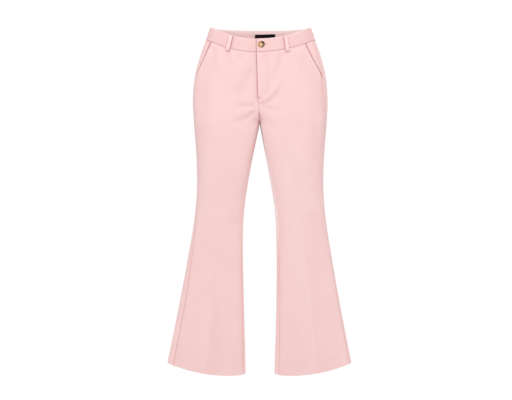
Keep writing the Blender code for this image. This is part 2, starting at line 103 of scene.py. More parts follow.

# from x and height, to x and height, sideways bow, width, depth (a negative one is a ridge),
# shares of its length that fade in and out, and how much painted shade it adds to its own shading
# (painted light where negative)
folds = {
    "front": (
        (-14, -257, -94, -291, 6, 9, 3.8, 0.1, 0.7, 0.14),
        (-18, -246, -72, -262, 4, 8, -1.4, 0.2, 0.6, -0.05),
        (-12, -272, -40, -318, 3, 8, 1.6, 0.45, 0.7, 0.06),
        (-10, -239, -88, -234, 3, 8, 2.4, 0.15, 0.6, 0.11),
        (-2, -238, 63, -174, -12, 8, 3.4, 0.05, 0.45, 0.15),
        (5, -226, 52, -158, -9, 6, -1.6, 0.25, 0.5, -0.06),
        (4, -243, 68, -255, 0, 8, 2.0, 0.1, 0.6, 0.08),
        (24, -268, 80, -274, 0, 10, -1.0, 0.3, 0.6, -0.04),
        (14, -282, 66, -310, -4, 11, 1.8, 0.3, 0.6, 0.06),
        (64, -82, 31, -172, 3, 10, 2.6, 0.15, 0.5, 0.09),
        (76, -86, 60, -160, 3, 10, -1.4, 0.2, 0.6, -0.05),
        (12, -84, 13, -198, 0, 9, 0, 0.05, 0.1, 0.04),
        (-24, -116, -72, -208, 4, 17, 2.8, 0.25, 0.25, 0.11),
        (-157, -95, -159, -275, 0, 15, 0.8, 0.2, 0.3, 0.06),
        (185, -150, 186, -275, 0, 10, 0.6, 0.2, 0.3, 0.10),
        (-64, -84, -52, -112, 0, 10, 1.4, 0.3, 0.5, 0.06),
        (-103, -86, -84, -122, 0, 9, 1.4, 0.2, 0.5, 0.06),
        (-138, -60, -137, -140, 0, 9, 2.2, 0.15, 0.5, 0.10),
        (-116, -60, -120, -150, 0, 12, -1.2, 0.3, 0.6, -0.03),
        (120, -84, 126, -156, 2, 15, 1.6, 0.3, 0.5, 0.05),
        (160, -120, 161, -480, 0, 18, 1.8, 0.2, 0.3, 0.06),
        (-178, -150, -171, -430, 0, 15, 1.6, 0.2, 0.3, 0.04),
        (-70, -566, -92, -604, 2, 19, 2.0, 0.4, 0.4, 0.05),
        (-112, -470, -120, -560, 2, 14, 1.2, 0.4, 0.4, 0.03),
        (128, -560, 176, -592, 3, 15, 1.6, 0.4, 0.4, 0.06),
        (70, -470, 82, -560, 3, 14, 1.2, 0.4, 0.4, 0.03),
        (64, -350, 108, -770, 4, 19, -0.8, 0.25, 0.3, -0.08),
        (-128, -820, -138, -1000, 0, 16, 0.8, 0.3, 0.2, 0.05),
        (-196, -860, -206, -960, 0, 22, 0.8, 0.4, 0.4, 0.03),
        (-100, -800, -72, -900, 6, 18, 1.4, 0.4, 0.4, 0.03),
        (180, -770, 196, -900, -6, 20, 1.4, 0.4, 0.4, 0.03),
        (96, -820, 88, -960, 4, 16, 1.2, 0.4, 0.4, 0.03),
        # broad bands with no relief: painted shade over the hips and the hems, painted light over
        # the thighs
        (-170, -95, 170, -95, 0, 45, 0, 0, 0, 0.015),
        (-130, -480, 130, -480, 0, 125, 0, 0, 0, -0.06),
        (-210, -1010, 210, -1010, 0, 100, 0, 0, 0, 0.07),
    ),
    "back": (
        (18, -296, 92, -318, 4, 12, 3.4, 0.1, 0.6, 0.08),
        (-20, -300, -84, -326, -4, 12, 3.0, 0.1, 0.6, 0.08),
        (30, -332, 104, -346, 5, 13, 2.2, 0.2, 0.6, 0.05),
        (-30, -340, -98, -352, -5, 12, 2.0, 0.2, 0.6, 0.05),
        (26, -372, 92, -378, 5, 14, 1.6, 0.3, 0.6, 0.03),
        (48, -566, 150, -578, 4, 14, 1.6, 0.3, 0.4, 0.04),
        (-52, -578, -140, -566, -4, 14, 1.4, 0.3, 0.4, 0.04),
        (20, -150, 62, -196, 5, 13, 1.8, 0.3, 0.7, 0.05),
        (-4, -160, -46, -210, -5, 13, 1.7, 0.3, 0.7, 0.05),
        (120, -120, 150, -230, 5, 15, 1.6, 0.4, 0.5, 0.04),
        (-126, -110, -150, -220, -5, 15, 1.6, 0.4, 0.5, 0.04),
        (84, -42, 78, -140, 2, 4, 1.2, 0, 0.9, 0.12),
        (-64, -42, -60, -134, -2, 4, 1.2, 0, 0.9, 0.12),
        (150, -760, 176, -900, 5, 18, 1.4, 0.4, 0.4, 0.03),
        (-110, -740, -96, -880, 5, 18, 1.4, 0.4, 0.4, 0.03),
    ),
}
foldTails = (-0.02, 1.15)  # a fold fades from just before its start to just past its end


def curveOf(table, column):  # a smooth function of height through one column of a table
    heights, values = np.array([(row[0], row[column]) for row in garment[table]], float)[::-1].T
    slopes = np.gradient(values, heights)

    def at(height):
        height = np.clip(height, heights[0], heights[-1])
        i = np.clip(np.searchsorted(heights, height, side="right") - 1, 0, len(heights) - 2)
        span = heights[i + 1] - heights[i]
        t = (height - heights[i]) / span
        value = (1 + 2 * t) * (1 - t) ** 2 * values[i] + t * t * (3 - 2 * t) * values[i + 1]
        return value + span * t * (1 - t) * ((1 - t) * slopes[i] - t * slopes[i + 1])

    return at


outerAt, innerAt, frontAt, backAt, fullAt = [curveOf("levels", column) for column in range(1, 6)]
outseamAt = {"left": curveOf("seams", 1), "right": curveOf("seams", 2)}
inseamAt = {"left": curveOf("seams", 3), "right": curveOf("seams", 4)}
centreAt = {"front": curveOf("centres", 1), "back": curveOf("centres", 2)}
leanAt = curveOf("centres", 3)
pocketAt = {"left": curveOf("pockets", 1), "right": curveOf("pockets", 2)}
forkTop = garment["crotch"] + garment["forkRise"]


def ease(value, start, end):  # 0 at start, 1 at end
    t = np.clip((value - start) / (end - start), 0, 1)
    return t * t * (3 - 2 * t)


def between(value, rise, fall):  # comes over rise's two values and goes over fall's
    return ease(value, *rise) * (1 - ease(value, *fall))


def ridge(away, amount, at, width):  # a soft line at this distance
    return amount * np.exp(-(((away - at) / width) ** 2))


def fading(away, amount, start, width):  # full as far as start, and fading past it
    return amount * np.exp(-np.maximum(away - start, 0) / width)


def travelled(points, axis=0):  # the length run so far along lines of points
    steps = np.linalg.norm(np.diff(points, axis=axis), axis=-1)
    return np.insert(np.cumsum(steps, axis=axis), 0, 0, axis=axis)


def section(height):  # centre and half width of the ring round one half
    outer = outerAt(height)
    up = np.clip((height - garment["crotch"]) / garment["forkRise"], 0, 1)
    pull = (1 - up ** garment["forkEase"]) ** garment["forkRound"]
    half = np.where(height > garment["crotch"], outer / (1 + pull), (outer - innerAt(height)) / 2)
    return outer - half, half


def skin(side, height, angle):  # the outside before creases and folds
    g = garment
    height, angle = np.broadcast_arrays(np.asarray(height, float), np.asarray(angle, float))
    centre, half = section(height)
    turn = np.radians(angle)
    isFront = np.sin(turn) > 0
    depth = np.where(isFront, -frontAt(height), backAt(height))
    nearFork = np.minimum(ease(height, g["forkFullLow"], g["crotch"]),
                          ease(height, forkTop, g["crotch"]))
    full = fullAt(height) + g["forkFull"] * nearFork * (np.cos(turn) < 0)
    bulge = np.maximum(1 - np.abs(np.cos(turn)) ** full, 0) ** (1 / full)
    across = centre + half * np.cos(turn)
    middle = np.where(isFront, centreAt["front"](height), centreAt["back"](height))
    slide = middle * np.maximum(1 - np.abs(across) / outerAt(height), 0) + leanAt(height)
    return np.stack((sign[side] * across + slide, depth * bulge, height), axis=-1)


def outward(side, height, angle):
    roundIt = skin(side, height, angle + 0.5) - skin(side, height, angle - 0.5)
    downIt = skin(side, height + 1, angle) - skin(side, height - 1, angle)
    normal = np.cross(roundIt, downIt)
    here = skin(side, height, angle)
    middle = sign[side] * section(here[..., 2])[0]
    fromMiddle = here - np.stack((middle, 0 * middle, here[..., 2]), axis=-1)
    inwards = np.sum(normal * fromMiddle, axis=-1) < 0
    normal = np.where(inwards[..., None], -normal, normal)
    return normal / np.linalg.norm(normal, axis=-1, keepdims=True)


def tilted(side, row, angle):  # the real height on a row, which dips in front and follows the hem
    g = garment
    turn = np.radians(angle)
    across = np.cos(turn)
    sweep = np.where(across > 0, g["waistSweep"][side], g["waistSweep"][other[side]])
    atWaist = ease(row, forkTop, -g["bandHeight"])
    dip = g["waistDip"] * np.maximum(np.sin(turn), 0) ** sweep * atWaist
    lowest = g["hemLowestAt"]
    outerShare = np.clip((across - lowest) / (1 - lowest), 0, 1)
    innerShare = np.clip((lowest - across) / (1 + lowest), 0, 1)
    rise = g["hemOuterRise"] * outerShare ** g["hemOuterSweep"]
    rise = rise + g["hemInnerRise"] * innerShare ** g["hemInnerSweep"]
    return row - dip + rise * ease(row, g["hemCurveTop"], g["hem"])


def foldsAt(isFront, x, z):  # how far the folds lift the cloth, and the painted shade and light along them
    lift, tone = np.zeros_like(x), np.zeros_like(x)
    for face, rows in folds.items():
        onFace = isFront == (face == "front")
        for x0, z0, x1, z1, bow, width, depth, fadeIn, fadeOut, deeper in rows:
            run = np.array((x1 - x0, z1 - z0))
            length = np.linalg.norm(run)
            along = ((x - x0) * run[0] + (z - z0) * run[1]) / length ** 2
            beside = ((z - z0) * run[0] - (x - x0) * run[1]) / length
            t = np.clip(along, 0, 1)
            away = np.hypot(beside - bow * 4 * t * (1 - t), (along - t) * length)
            strength = 1 - ease(along, 1 - fadeOut, foldTails[1])
            if fadeIn:
                strength = strength * ease(along, foldTails[0], fadeIn)
            strength = np.where(onFace, ridge(away, strength, 0, width), 0)
            lift -= depth * strength
            tone += deeper * strength
    return lift, tone


def besideCrease(side, height, angle):  # distance from it, positive towards the wearer's left
    across = np.cos(np.radians(angle)) - math.cos(math.radians(crease["angle"][side]))
    return sign[side] * section(height)[1] * across


def relief(side, height, angle):  # how far creases and folds lift the cloth, or press it in
    base = skin(side, height, angle)
    isFront = np.sin(np.radians(angle) * np.ones_like(base[..., 2])) > 0
    away = np.abs(besideCrease(side, base[..., 2], angle))
    pressed = fading(away, crease["rise"], 0, crease["spread"])
    pressed = pressed + fading(away, crease["edgeRise"], 0, crease["edgeSpread"])
    pressed = pressed * ease(base[..., 2], crease["top"], crease["full"])
    return pressed + foldsAt(isFront, base[..., 0], base[..., 2])[0]


def clothAt(side, height, angle, out=0):  # a point at a real height, lifted off the outside
    lift = (relief(side, height, angle) + out)[..., None]
    return skin(side, height, angle) + outward(side, height, angle) * lift


def onRow(side, row, angle, lift):  # points on the cloth along a row, and their normals
    height = tilted(side, row, angle)
    return clothAt(side, height, angle, lift), outward(side, height, angle)


def perDegree(side, row, angle):  # millimetres round the garment for one degree
    height = tilted(side, row, angle)
    across = skin(side, height, angle + 0.5) - skin(side, height, angle - 0.5)
    return np.linalg.norm(across, axis=-1)


def angleAt(height, across, face):  # the angle this far from the centre seam
    centre, half = section(height)
    turn = np.degrees(np.arccos(np.clip((across - centre) / half, -1, 1)))
    return turn if face == "front" else -turn


def seamX(face, height):
    return centreAt[face](height) + leanAt(height)


def frontPoint(x, height, lift):  # a point of the cloth seen straight from the front, its normal
    fromSeam = x - float(seamX("front", height))
    side = "left" if fromSeam >= 0 else "right"
    slide = float(centreAt["front"](height)) / float(outerAt(height))
    angle = float(angleAt(height, fromSeam / (sign[side] - slide), "front"))
    return clothAt(side, height, angle, lift), outward(side, height, angle)


def nearFlyEnd(height, heights):  # 0 to 1 over two heights above the fly's end
    low, high = heights
    return ease(height, fly["end"] + low, fly["end"] + high)


def underlap(side, height):  # how far the right front runs on under the lap
    if side == "left":
        return 0 * height
    return fly["underlap"] * nearFlyEnd(height, fly["underlapFrom"])


def flyPress(x, height, depth):  # how far the right side is pressed in under the left one's lap
    onFly = nearFlyEnd(height, fly["pressFrom"])
    return depth * onFly * (1 - ease(seamX("front", height) - x, *fly["pressFades"]))


def innerAngle(side, face, rows):  # the centre seam above the crotch and the inseam below
    isFront = face == "front"
    height = tilted(side, rows, 90 if isFront else -90)
    hidden = underlap(side, height) if isFront else 0
    inseam = 180 - inseamAt[side](rows)
    below = inseam if isFront else inseam - 360
    return np.where(rows > garment["crotch"], angleAt(height, -hidden, face), below)


def outerAngle(side, face, rows):  # the outseam, or the pocket opening on a front
    if face == "front":
        return np.where(rows > forkTop, pocketAt[side](rows), outseamAt[side](rows))
    return outseamAt[side](rows)


def creaseColumn(side, face, rows):  # the column that follows the pressed crease
    middle = (innerAngle(side, face, rows) + outerAngle(side, face, rows)) / 2
    pressed = crease["angle"][side] if face == "front" else -crease["angle"][side]
    return middle + (pressed - middle) * ease(rows, forkTop, crease["top"])


def awayFromPath(x, z, path):  # distance in the front's plane from a line through points
    nearest = np.full(x.shape, np.inf)
    for (x0, z0), (x1, z1) in zip(path, path[1:]):
        runX, runZ = x1 - x0, z1 - z0
        t = np.clip(((x - x0) * runX + (z - z0) * runZ) / (runX ** 2 + runZ ** 2), 0, 1)
        nearest = np.minimum(nearest, np.hypot(x - x0 - t * runX, z - z0 - t * runZ))
    return nearest


class Wire:  # a value socket whose operators add Math nodes
    def __init__(self, finish, socket):
        self.finish = finish
        self.socket = socket

    def math(self, operation, *values):
        sockets = {str(i): value for i, value in enumerate(values)}
        return self.finish.node("ShaderNodeMath", {"operation": operation}, **sockets)

    def of(self, operation):
        return self.math(operation, self)

    def __add__(self, more):
        return self.math("ADD", self, more)

    def __radd__(self, more):
        return self.math("ADD", more, self)

    def __sub__(self, less):
        return self.math("SUBTRACT", self, less)

    def __rsub__(self, whole):
        return self.math("SUBTRACT", whole, self)

    def __mul__(self, times):
        return self.math("MULTIPLY", self, times)

    def __rmul__(self, times):
        return self.math("MULTIPLY", times, self)

    def __truediv__(self, by):
        return self.math("DIVIDE", self, by)

    def __lt__(self, limit):
        return self.math("LESS_THAN", self, limit)


class Finish:  # a material and what its nodes need
    def __init__(self, name, roughness, **shaderValues):
        self.material = bpy.data.materials.new(name)
        self.material.use_nodes = True
        self.tree = self.material.node_tree
        self.shader = self.tree.nodes["Principled BSDF"]
        self.shader.inputs["Roughness"].default_value = roughness
        for socket, value in shaderValues.items():
            self.shader.inputs[socket.replace("_", " ")].default_value = value

    def node(self, kind, settings=None, output=0, **sockets):
        made = self.tree.nodes.new(kind)
        for name, value in (settings or {}).items():
            setattr(made, name, value)
        for name, value in sockets.items():
            self.feed(made.inputs[int(name) if name.isdigit() else name.replace("_", " ")], value)
        return Wire(self, made.outputs[output])

    def feed(self, socket, value):
        if isinstance(value, Wire):
            self.tree.links.new(value.socket, socket)
        elif isinstance(value, tuple) and len(socket.default_value) == 4:
            socket.default_value = (*value, 1)
        else:
            socket.default_value = value

    def finished(self, kind, colour, grain, height):  # grain roughens it, height is its relief
        (least, more), (strength, distance) = kind["rough"], kind["bump"]
        bump = self.node("ShaderNodeBump", Strength=strength, Distance=distance, Height=height)
        self.feed(self.shader.inputs["Base Color"], colour)
        self.feed(self.shader.inputs["Roughness"], least + grain * more)
        self.feed(self.shader.inputs["Normal"], bump)
        return self.material

    def blend(self, parts, shares):  # each part times its share, all added up
        added = [part * share for part, share in zip(parts, shares)]
        return sum(added[1:], added[0])

    def mix(self, factor, first, second):
        sockets = {"0": factor, "6": first, "7": second}
        return self.node("ShaderNodeMix", {"data_type": "RGBA"}, 2, **sockets)

    def noise(self, where, scale=1.0, detail=2, roughness=0.5):
        return self.node("ShaderNodeTexNoise", Vector=where, Scale=scale, Detail=detail,
                         Roughness=roughness)

    def vector(self, operation, *values, output=0):
        sockets = {str(i): value for i, value in enumerate(values)}
        return self.node("ShaderNodeVectorMath", {"operation": operation}, output, **sockets)

    def scaled(self, where, x, y, z=1):
        return self.vector("MULTIPLY", where, (x, y, z))

    def awayFrom(self, where, point):
        return self.vector("LENGTH", self.vector("SUBTRACT", where, tuple(point)), output=1)

    def here(self):
        return self.node("ShaderNodeTexCoord", output=3)

    def clothPlace(self):  # the cloth's own map, and its lengths across and along
        uv = self.node("ShaderNodeUVMap", {"uv_map": "cloth"})
        return uv, *[self.node("ShaderNodeSeparateXYZ", output=i, Vector=uv) for i in (0, 1)]

    def tone(self):
        return self.node("ShaderNodeAttribute", {"attribute_name": "tone"}, output=2)


# Colours of the warp and weft yarns, and the painted shade (deep, and the darkest past it) and
# painted light (pale) that a piece's tone mixes in.
suiting = {
    "warp": (0.925, 0.655, 0.645), "weft": (0.845, 0.562, 0.552), "deep": (0.60, 0.27, 0.262),
    "pale": (0.985, 0.84, 0.825), "paintedDarkestShade": (0.17, 0.04, 0.04), "pitch": (0.00046, 0.00052),
    "roughness": 0.86, "sheen": 0.10, "sheenRoughness": 0.5, "gloss": 0.22, "warpOver": 0.6,
    # size across and along, detail and roughness of uneven warp and weft yarns and of the nap
    "grains": ((0.0009, 0.016, 3, 0.5), (0.014, 0.0010, 3, 0.5), (0.0022, 0.0030, 4, 0.65)),
    "cloud": (14.0, 3, 0.55),
    # shares of two noises in a mask, and how far the mask takes the colour
    "slub": (0.9, 0.6, 0.10), "patch": (0.8, 3.4, 0.16),
    # shares of the weave, the two yarns and the nap in its relief
    "heights": (0.6, 0.5, 0.4, 1.1), "rough": (0.80, 0.12), "bump": (0.35, 0.00007),
}


def suitingFinish(name):  # a fine twill with an uneven yarn and a soft nap, with painted shade and painted light mixed in by its tone
    s = suiting
    finish = Finish(name, s["roughness"], Sheen_Weight=s["sheen"],
                    Sheen_Roughness=s["sheenRoughness"], Specular_IOR_Level=s["gloss"])
    uv, *lengths = finish.clothPlace()
    across, along = [length / pitch for length, pitch in zip(lengths, s["pitch"])]
    warpRound = (across * math.pi).of("SINE").of("ABSOLUTE")
    weftRound = (along * math.pi).of("SINE").of("ABSOLUTE")
    warpOver = ((across.of("FLOOR") + along.of("FLOOR")) / 3).of("FRACT") < s["warpOver"]
    weave = weftRound * (1 - warpOver) + warpRound * warpOver
    yarn, pick, nap = [finish.noise(finish.scaled(uv, 1 / wide, 1 / long), 1.0, *kind)
                       for wide, long, *kind in s["grains"]]
    cloud = finish.noise(finish.here(), *s["cloud"])
    colour = finish.mix(warpOver * 0.5 + 0.25, s["weft"], s["warp"])
    for first, second, mask in ((yarn, pick, "slub"), (nap, cloud, "patch")):
        firstShare, secondShare, amount = s[mask]
        middling = (first - 0.5) * firstShare + (second - 0.5) * secondShare + 0.5
        towards = [finish.mix(amount, colour, s[yarns]) for yarns in ("weft", "warp")]
        colour = finish.mix(middling, *towards)
    tone = finish.tone()
    # painted shade where the tone is positive, darkest past one, and painted light where it is
    # negative
    for mask, end in ((tone, "deep"), (tone - 1, "paintedDarkestShade"), (0 - tone, "pale")):
        colour = finish.mix(mask, colour, s[end])
    height = finish.blend((weave, yarn, pick, nap), s["heights"])
    return finish.finished(s, colour, nap, height)


thread = {
    "roughness": 0.6, "sheen": 0.2, "twist": (900, 1.5, 1), "fuzz": (2600.0, 3), "pale": 1.25,
    "shown": (0.6, 0.4), "fuzzHeight": 0.4, "rough": (0.5, 0.25), "bump": (0.4, 0.00008),
}


def threadFinish(name, colour):  # twisted thread, lighter on its ply
    t = thread
    finish = Finish(name, t["roughness"], Sheen_Weight=t["sheen"])
    where = finish.here()
    scale, distortion, detail = t["twist"]
    ply = finish.node("ShaderNodeTexWave", {"bands_direction": "DIAGONAL"}, 1, Vector=where,
                      Scale=scale, Distortion=distortion, Detail=detail)
    fuzz = finish.noise(where, *t["fuzz"])
    pale = tuple(min(1, part * t["pale"]) for part in colour)
    shown = finish.mix(finish.blend((ply, fuzz), t["shown"]), colour, pale)
    return finish.finished(t, shown, fuzz, ply + fuzz * t["fuzzHeight"])


horn = {
    "tan": (0.47, 0.215, 0.06), "amber": (0.66, 0.345, 0.115), "cream": (0.75, 0.535, 0.31),
    "dark": (0.055, 0.02, 0.009), "roughness": 0.22, "coat": 0.35, "coatRoughness": 0.12,
    "streak": (260, 260, 90), "streakNoise": (1.0, 5, 0.62), "blot": (330.0, 3, 0.6),
    # the reach of a spot in its radii, how ragged its edge is and how sharp
    "creamRadius": 0.0046, "creamEdge": (1.3, 0.8, 2.2), "darkEdge": (1.25, 1.6, 1.8),
    "heights": (0.5, 0.3), "rough": (0.22, 0.12), "bump": (0.15, 0.0001),
    # dark patches: place across and up from the middle, and radius
    "patches": ((5.0, 5.8, 5.4), (7.4, -3.0, 2.9), (3.4, -7.2, 2.8), (-7.6, -5.2, 1.8),
                (8.8, 2.0, 3.0)),
}


def hornFinish(name, middle, right, up):  # polished mottled horn, pale in the middle
    h = horn
    finish = Finish(name, h["roughness"], Coat_Weight=h["coat"], Coat_Roughness=h["coatRoughness"])
    where = finish.here()
    streak = finish.noise(finish.scaled(where, *h["streak"]), *h["streakNoise"])
    blot = finish.noise(where, *h["blot"])

    def spot(place, radius, edge):
        reach, ragged, sharp = edge
        away = finish.awayFrom(where, place) / radius
        return (reach - away - (blot - 0.5) * ragged) * sharp

    colour = finish.mix(streak, h["tan"], h["amber"])
    colour = finish.mix(spot(middle, h["creamRadius"], h["creamEdge"]), colour, h["cream"])
    for across, above, radius in h["patches"]:
        place = middle + (right * across + up * above) * mm
        colour = finish.mix(spot(place, radius * mm, h["darkEdge"]), colour, h["dark"])
    return finish.finished(h, colour, streak, finish.blend((streak, blot), h["heights"]))


tapeWeave = {
    "roughness": 0.85, "endPitch": 0.8, "fuzz": (900.0, 3), "pale": (1.3, 0.002), "deep": 0.4,
    "shown": (0.5, 0.5), "heights": (0.8, 0.4, 0.3), "rough": (0.75, 0.2), "bump": (0.5, 0.00012),
}


def tapeFinish(name, colour, rib, gloss):  # a ribbed woven tape
    w = tapeWeave
    finish = Finish(name, w["roughness"], Specular_IOR_Level=gloss)
    uv, across, along = finish.clothPlace()
    ribs = (along * (math.pi / rib)).of("SINE").of("ABSOLUTE")
    ends = (across * (math.pi / (rib * w["endPitch"]))).of("SINE").of("ABSOLUTE")
    fuzz = finish.noise(uv, *w["fuzz"])
    times, more = w["pale"]
    pale = tuple(min(1, part * times + more) for part in colour)
    shown = finish.mix(finish.blend((ribs, fuzz), w["shown"]), colour, pale)
    shown = finish.mix(finish.tone(), shown, tuple(part * w["deep"] for part in colour))
    return finish.finished(w, shown, fuzz, finish.blend((ribs, ends, fuzz), w["heights"]))


brass = {
    "roughness": 0.34, "cloud": (220.0, 4), "scratch": (3000, 3000, 240),
    "dull": (0.50, 0.37, 0.17), "bright": (0.68, 0.55, 0.31), "cloudHeight": 0.3,
    "rough": (0.22, 0.28), "bump": (0.2, 0.00004),
}


def brassFinish(name):  # satin metal, worn brighter in fine scratches
    b = brass
    finish = Finish(name, b["roughness"], Metallic=1.0)
    where = finish.here()
    cloud = finish.noise(where, *b["cloud"])
    scratch = finish.noise(finish.scaled(where, *b["scratch"]))
    colour = finish.mix(cloud, b["dull"], b["bright"])
    return finish.finished(b, colour, scratch, scratch + cloud * b["cloudHeight"])


pinkCloth = suitingFinish("pinkSuiting")
pinkThread = threadFinish("pinkThread", (0.72, 0.40, 0.385))
creamThread = threadFinish("creamThread", (0.80, 0.61, 0.37))
blackThread = threadFinish("blackThread", (0.012, 0.012, 0.014))
zipWeave = tapeFinish("wovenZipTape", (0.80, 0.54, 0.53), 0.0009, 0.3)
blackWeave = tapeFinish("blackWovenTab", (0.0035, 0.0035, 0.0045), 0.0006, 0.08)
zipBrass = brassFinish("satinBrass")
print("finishes ready")


def pickOnly(*pieces):  # the last of them becomes the active one
    bpy.ops.object.select_all(action="DESELECT")
    for piece in pieces:
        piece.select_set(True)
        bpy.context.view_layer.objects.active = piece


def named(name):  # names the piece that was just added
    piece = bpy.context.object
    piece.name = piece.data.name = name
    return piece


def applyPlace(piece):
    pickOnly(piece)
    bpy.ops.object.transform_apply(location=True, rotation=True, scale=True)


def modified(piece, kind, **settings):  # adds a modifier and applies it
    made = piece.modifiers.new("step", kind)
    for name, value in settings.items():
        setattr(made, name, value)
    bpy.context.view_layer.objects.active = piece
    bpy.ops.object.modifier_apply(modifier=made.name)


def drilled(piece, sides, radius, depth, **place):  # a round hole through a piece
    bpy.ops.mesh.primitive_cylinder_add(vertices=sides, radius=radius * mm, depth=depth, **place)
    drill = bpy.context.object
    modified(piece, "BOOLEAN", object=drill)
    bpy.data.objects.remove(drill)


def editAll(piece, operator, **settings):  # runs an edit mode operator on the whole of a piece
    pickOnly(piece)
    bpy.ops.object.mode_set(mode="EDIT")
    bpy.ops.mesh.select_all(action="SELECT")
    operator(**settings)
    bpy.ops.object.mode_set(mode="OBJECT")


def deletePicked(piece, picked):
    pickOnly(piece)
    bpy.ops.object.mode_set(mode="EDIT")
    bpy.ops.mesh.select_mode(type="FACE")
    bpy.ops.mesh.select_all(action="DESELECT")
    bpy.ops.object.mode_set(mode="OBJECT")
    piece.data.polygons.foreach_set("select", picked.ravel())
    bpy.ops.object.mode_set(mode="EDIT")
    bpy.ops.mesh.delete(type="FACE")
    bpy.ops.object.mode_set(mode="OBJECT")


def smooth(piece, finish, angle=40):
    piece.data.materials.clear()
    piece.data.materials.append(finish)
    pickOnly(piece)
    bpy.ops.object.shade_smooth_by_angle(angle=math.radians(angle))
    return piece


def clothUV(points, originColumn=None):  # lengths across and along the cloth
    across, along = travelled(points, 1), travelled(points)
    columns = points.shape[1]
    origin = [columns // 2 if originColumn is None else originColumn]
    return np.stack((across - across[:, origin], -along[:, origin].repeat(columns, axis=1)), -1)


def stripUV(points):  # the same for a strip whose rows run round it
    return clothUV(points.transpose(1, 0, 2)).transpose(1, 0, 2)


def gridMesh(name, points, uv, tone):  # a grid laid on rows by columns of points
    rows, columns = points.shape[:2]
    pickOnly()
    bpy.ops.mesh.primitive_grid_add(x_subdivisions=columns - 1, y_subdivisions=rows - 1, size=1)
    piece = named(name)
    mesh = piece.data
    mesh.vertices.foreach_set("co", (points * mm).ravel())
    while mesh.uv_layers:
        mesh.uv_layers.remove(mesh.uv_layers[0])
    layer = mesh.uv_layers.new(name="cloth")
    corner = np.empty(len(mesh.loops), int)
    mesh.loops.foreach_get("vertex_index", corner)
    layer.data.foreach_set("uv", (uv.reshape(-1, 2)[corner] * mm).ravel())
    shade = mesh.attributes.new("tone", "FLOAT", "POINT")
    shade.data.foreach_set("value", (tone * np.ones((rows, columns))).ravel())
    mesh.update()
    return piece


innerTones = (-0.05, 0.12)  # the least and most painted shade and light that the tones show on a wall's inner face


def thicken(piece, thickness):
    outer = len(piece.data.vertices)
    modified(piece, "SOLIDIFY", thickness=thickness * mm, offset=-1)
    shade = piece.data.attributes["tone"].data
    tone = np.empty(len(shade))
    shade.foreach_get("value", tone)
    tone[outer:] = np.clip(tone[outer:], *innerTones)
    shade.foreach_set("value", tone)


def wall(name, points, tone, finish, thickness, aim, direction, origin=None, cutAway=None):
    piece = gridMesh(name, points, clothUV(points, origin), tone)
    row, column = aim  # the face here has to look in this direction
    face = piece.data.polygons[row * (points.shape[1] - 1) + column]
    if face.normal.dot(Vector(direction)) < 0:
        editAll(piece, bpy.ops.mesh.flip_normals)
    if cutAway is not None:
        deletePicked(piece, cutAway)
    thicken(piece, thickness)
    return smooth(piece, finish)


def tubeSheet(name, loop, finish, uv, tone=0):  # rows of points go round it, columns along it
    piece = gridMesh(name, loop, uv, tone)
    editAll(piece, bpy.ops.mesh.remove_doubles, threshold=0.00002)
    editAll(piece, bpy.ops.mesh.fill_holes, sides=0)
    editAll(piece, bpy.ops.mesh.normals_make_consistent, inside=False)
    return smooth(piece, finish, 50)


def oneOfMany():  # the points and triangles of the small piece that was just made
    piece = bpy.context.object
    editAll(piece, bpy.ops.mesh.quads_convert_to_tris)
    points = np.empty(len(piece.data.vertices) * 3)
    piece.data.vertices.foreach_get("co", points)
    faces = np.array([face.vertices[:] for face in piece.data.polygons])
    bpy.data.objects.remove(piece)
    return points.reshape(-1, 3), faces


def meshOfMany(name, copies, faces, finish, angle):  # each copy's points, in metres
    firsts = np.arange(len(copies)) * len(copies[0])
    mesh = bpy.data.meshes.new(name)
    allFaces = (faces[None] + firsts[:, None, None]).reshape(-1, 3)
    mesh.from_pydata(np.concatenate(copies).tolist(), [], allFaces.tolist())
    piece = bpy.data.objects.new(name, mesh)
    bpy.context.scene.collection.objects.link(piece)
    editAll(piece, bpy.ops.mesh.normals_make_consistent, inside=False)
    return smooth(piece, finish, angle)


cloth = {
    "thickness": 0.75, "roll": 0.9, "allowance": 9, "lapFacing": 36, "seamSpace": 0.06,
    "hemRoll": 1.1, "hemStitch": 33, "hemFlat": 1.2, "waistTurn": 2.8, "waistSpace": 0.1,
    "columns": {"front": 118, "back": 80}, "rowStep": 2.3, "legRowStep": 4.4, "fineAbove": -340,
    "hemStitchRows": (-3, -1.8, -0.9, 0, 0.9, 1.8, 3), "hemStitchClear": 4.6,
    "hemRows": (3, 8, 16, 24, 32, 33), "hemTurns": (120, 150, 180, 210, 240, 270),
    "hemTurnsInside": 3, "rollTurns": (270, 235, 205, 180, 155, 125, 90), "waistRound": 0.3,
    # the flat of a seam allowance: two places as shares of its width, and the place by its roll
    "flatShares": (1, 0.55), "rollStart": 2.2, "evenShare": 0.55, "leastReach": 0.05,
    "pocketGape": 1.6, "pocketGapeSpread": 9, "pocketGapeRound": 0.7,
    "stitchRise": (0.3, 0, 1.5), "hemDent": (0.35, 0, 1.3), "bareHemEdge": 5, "aimRow": 150,
}

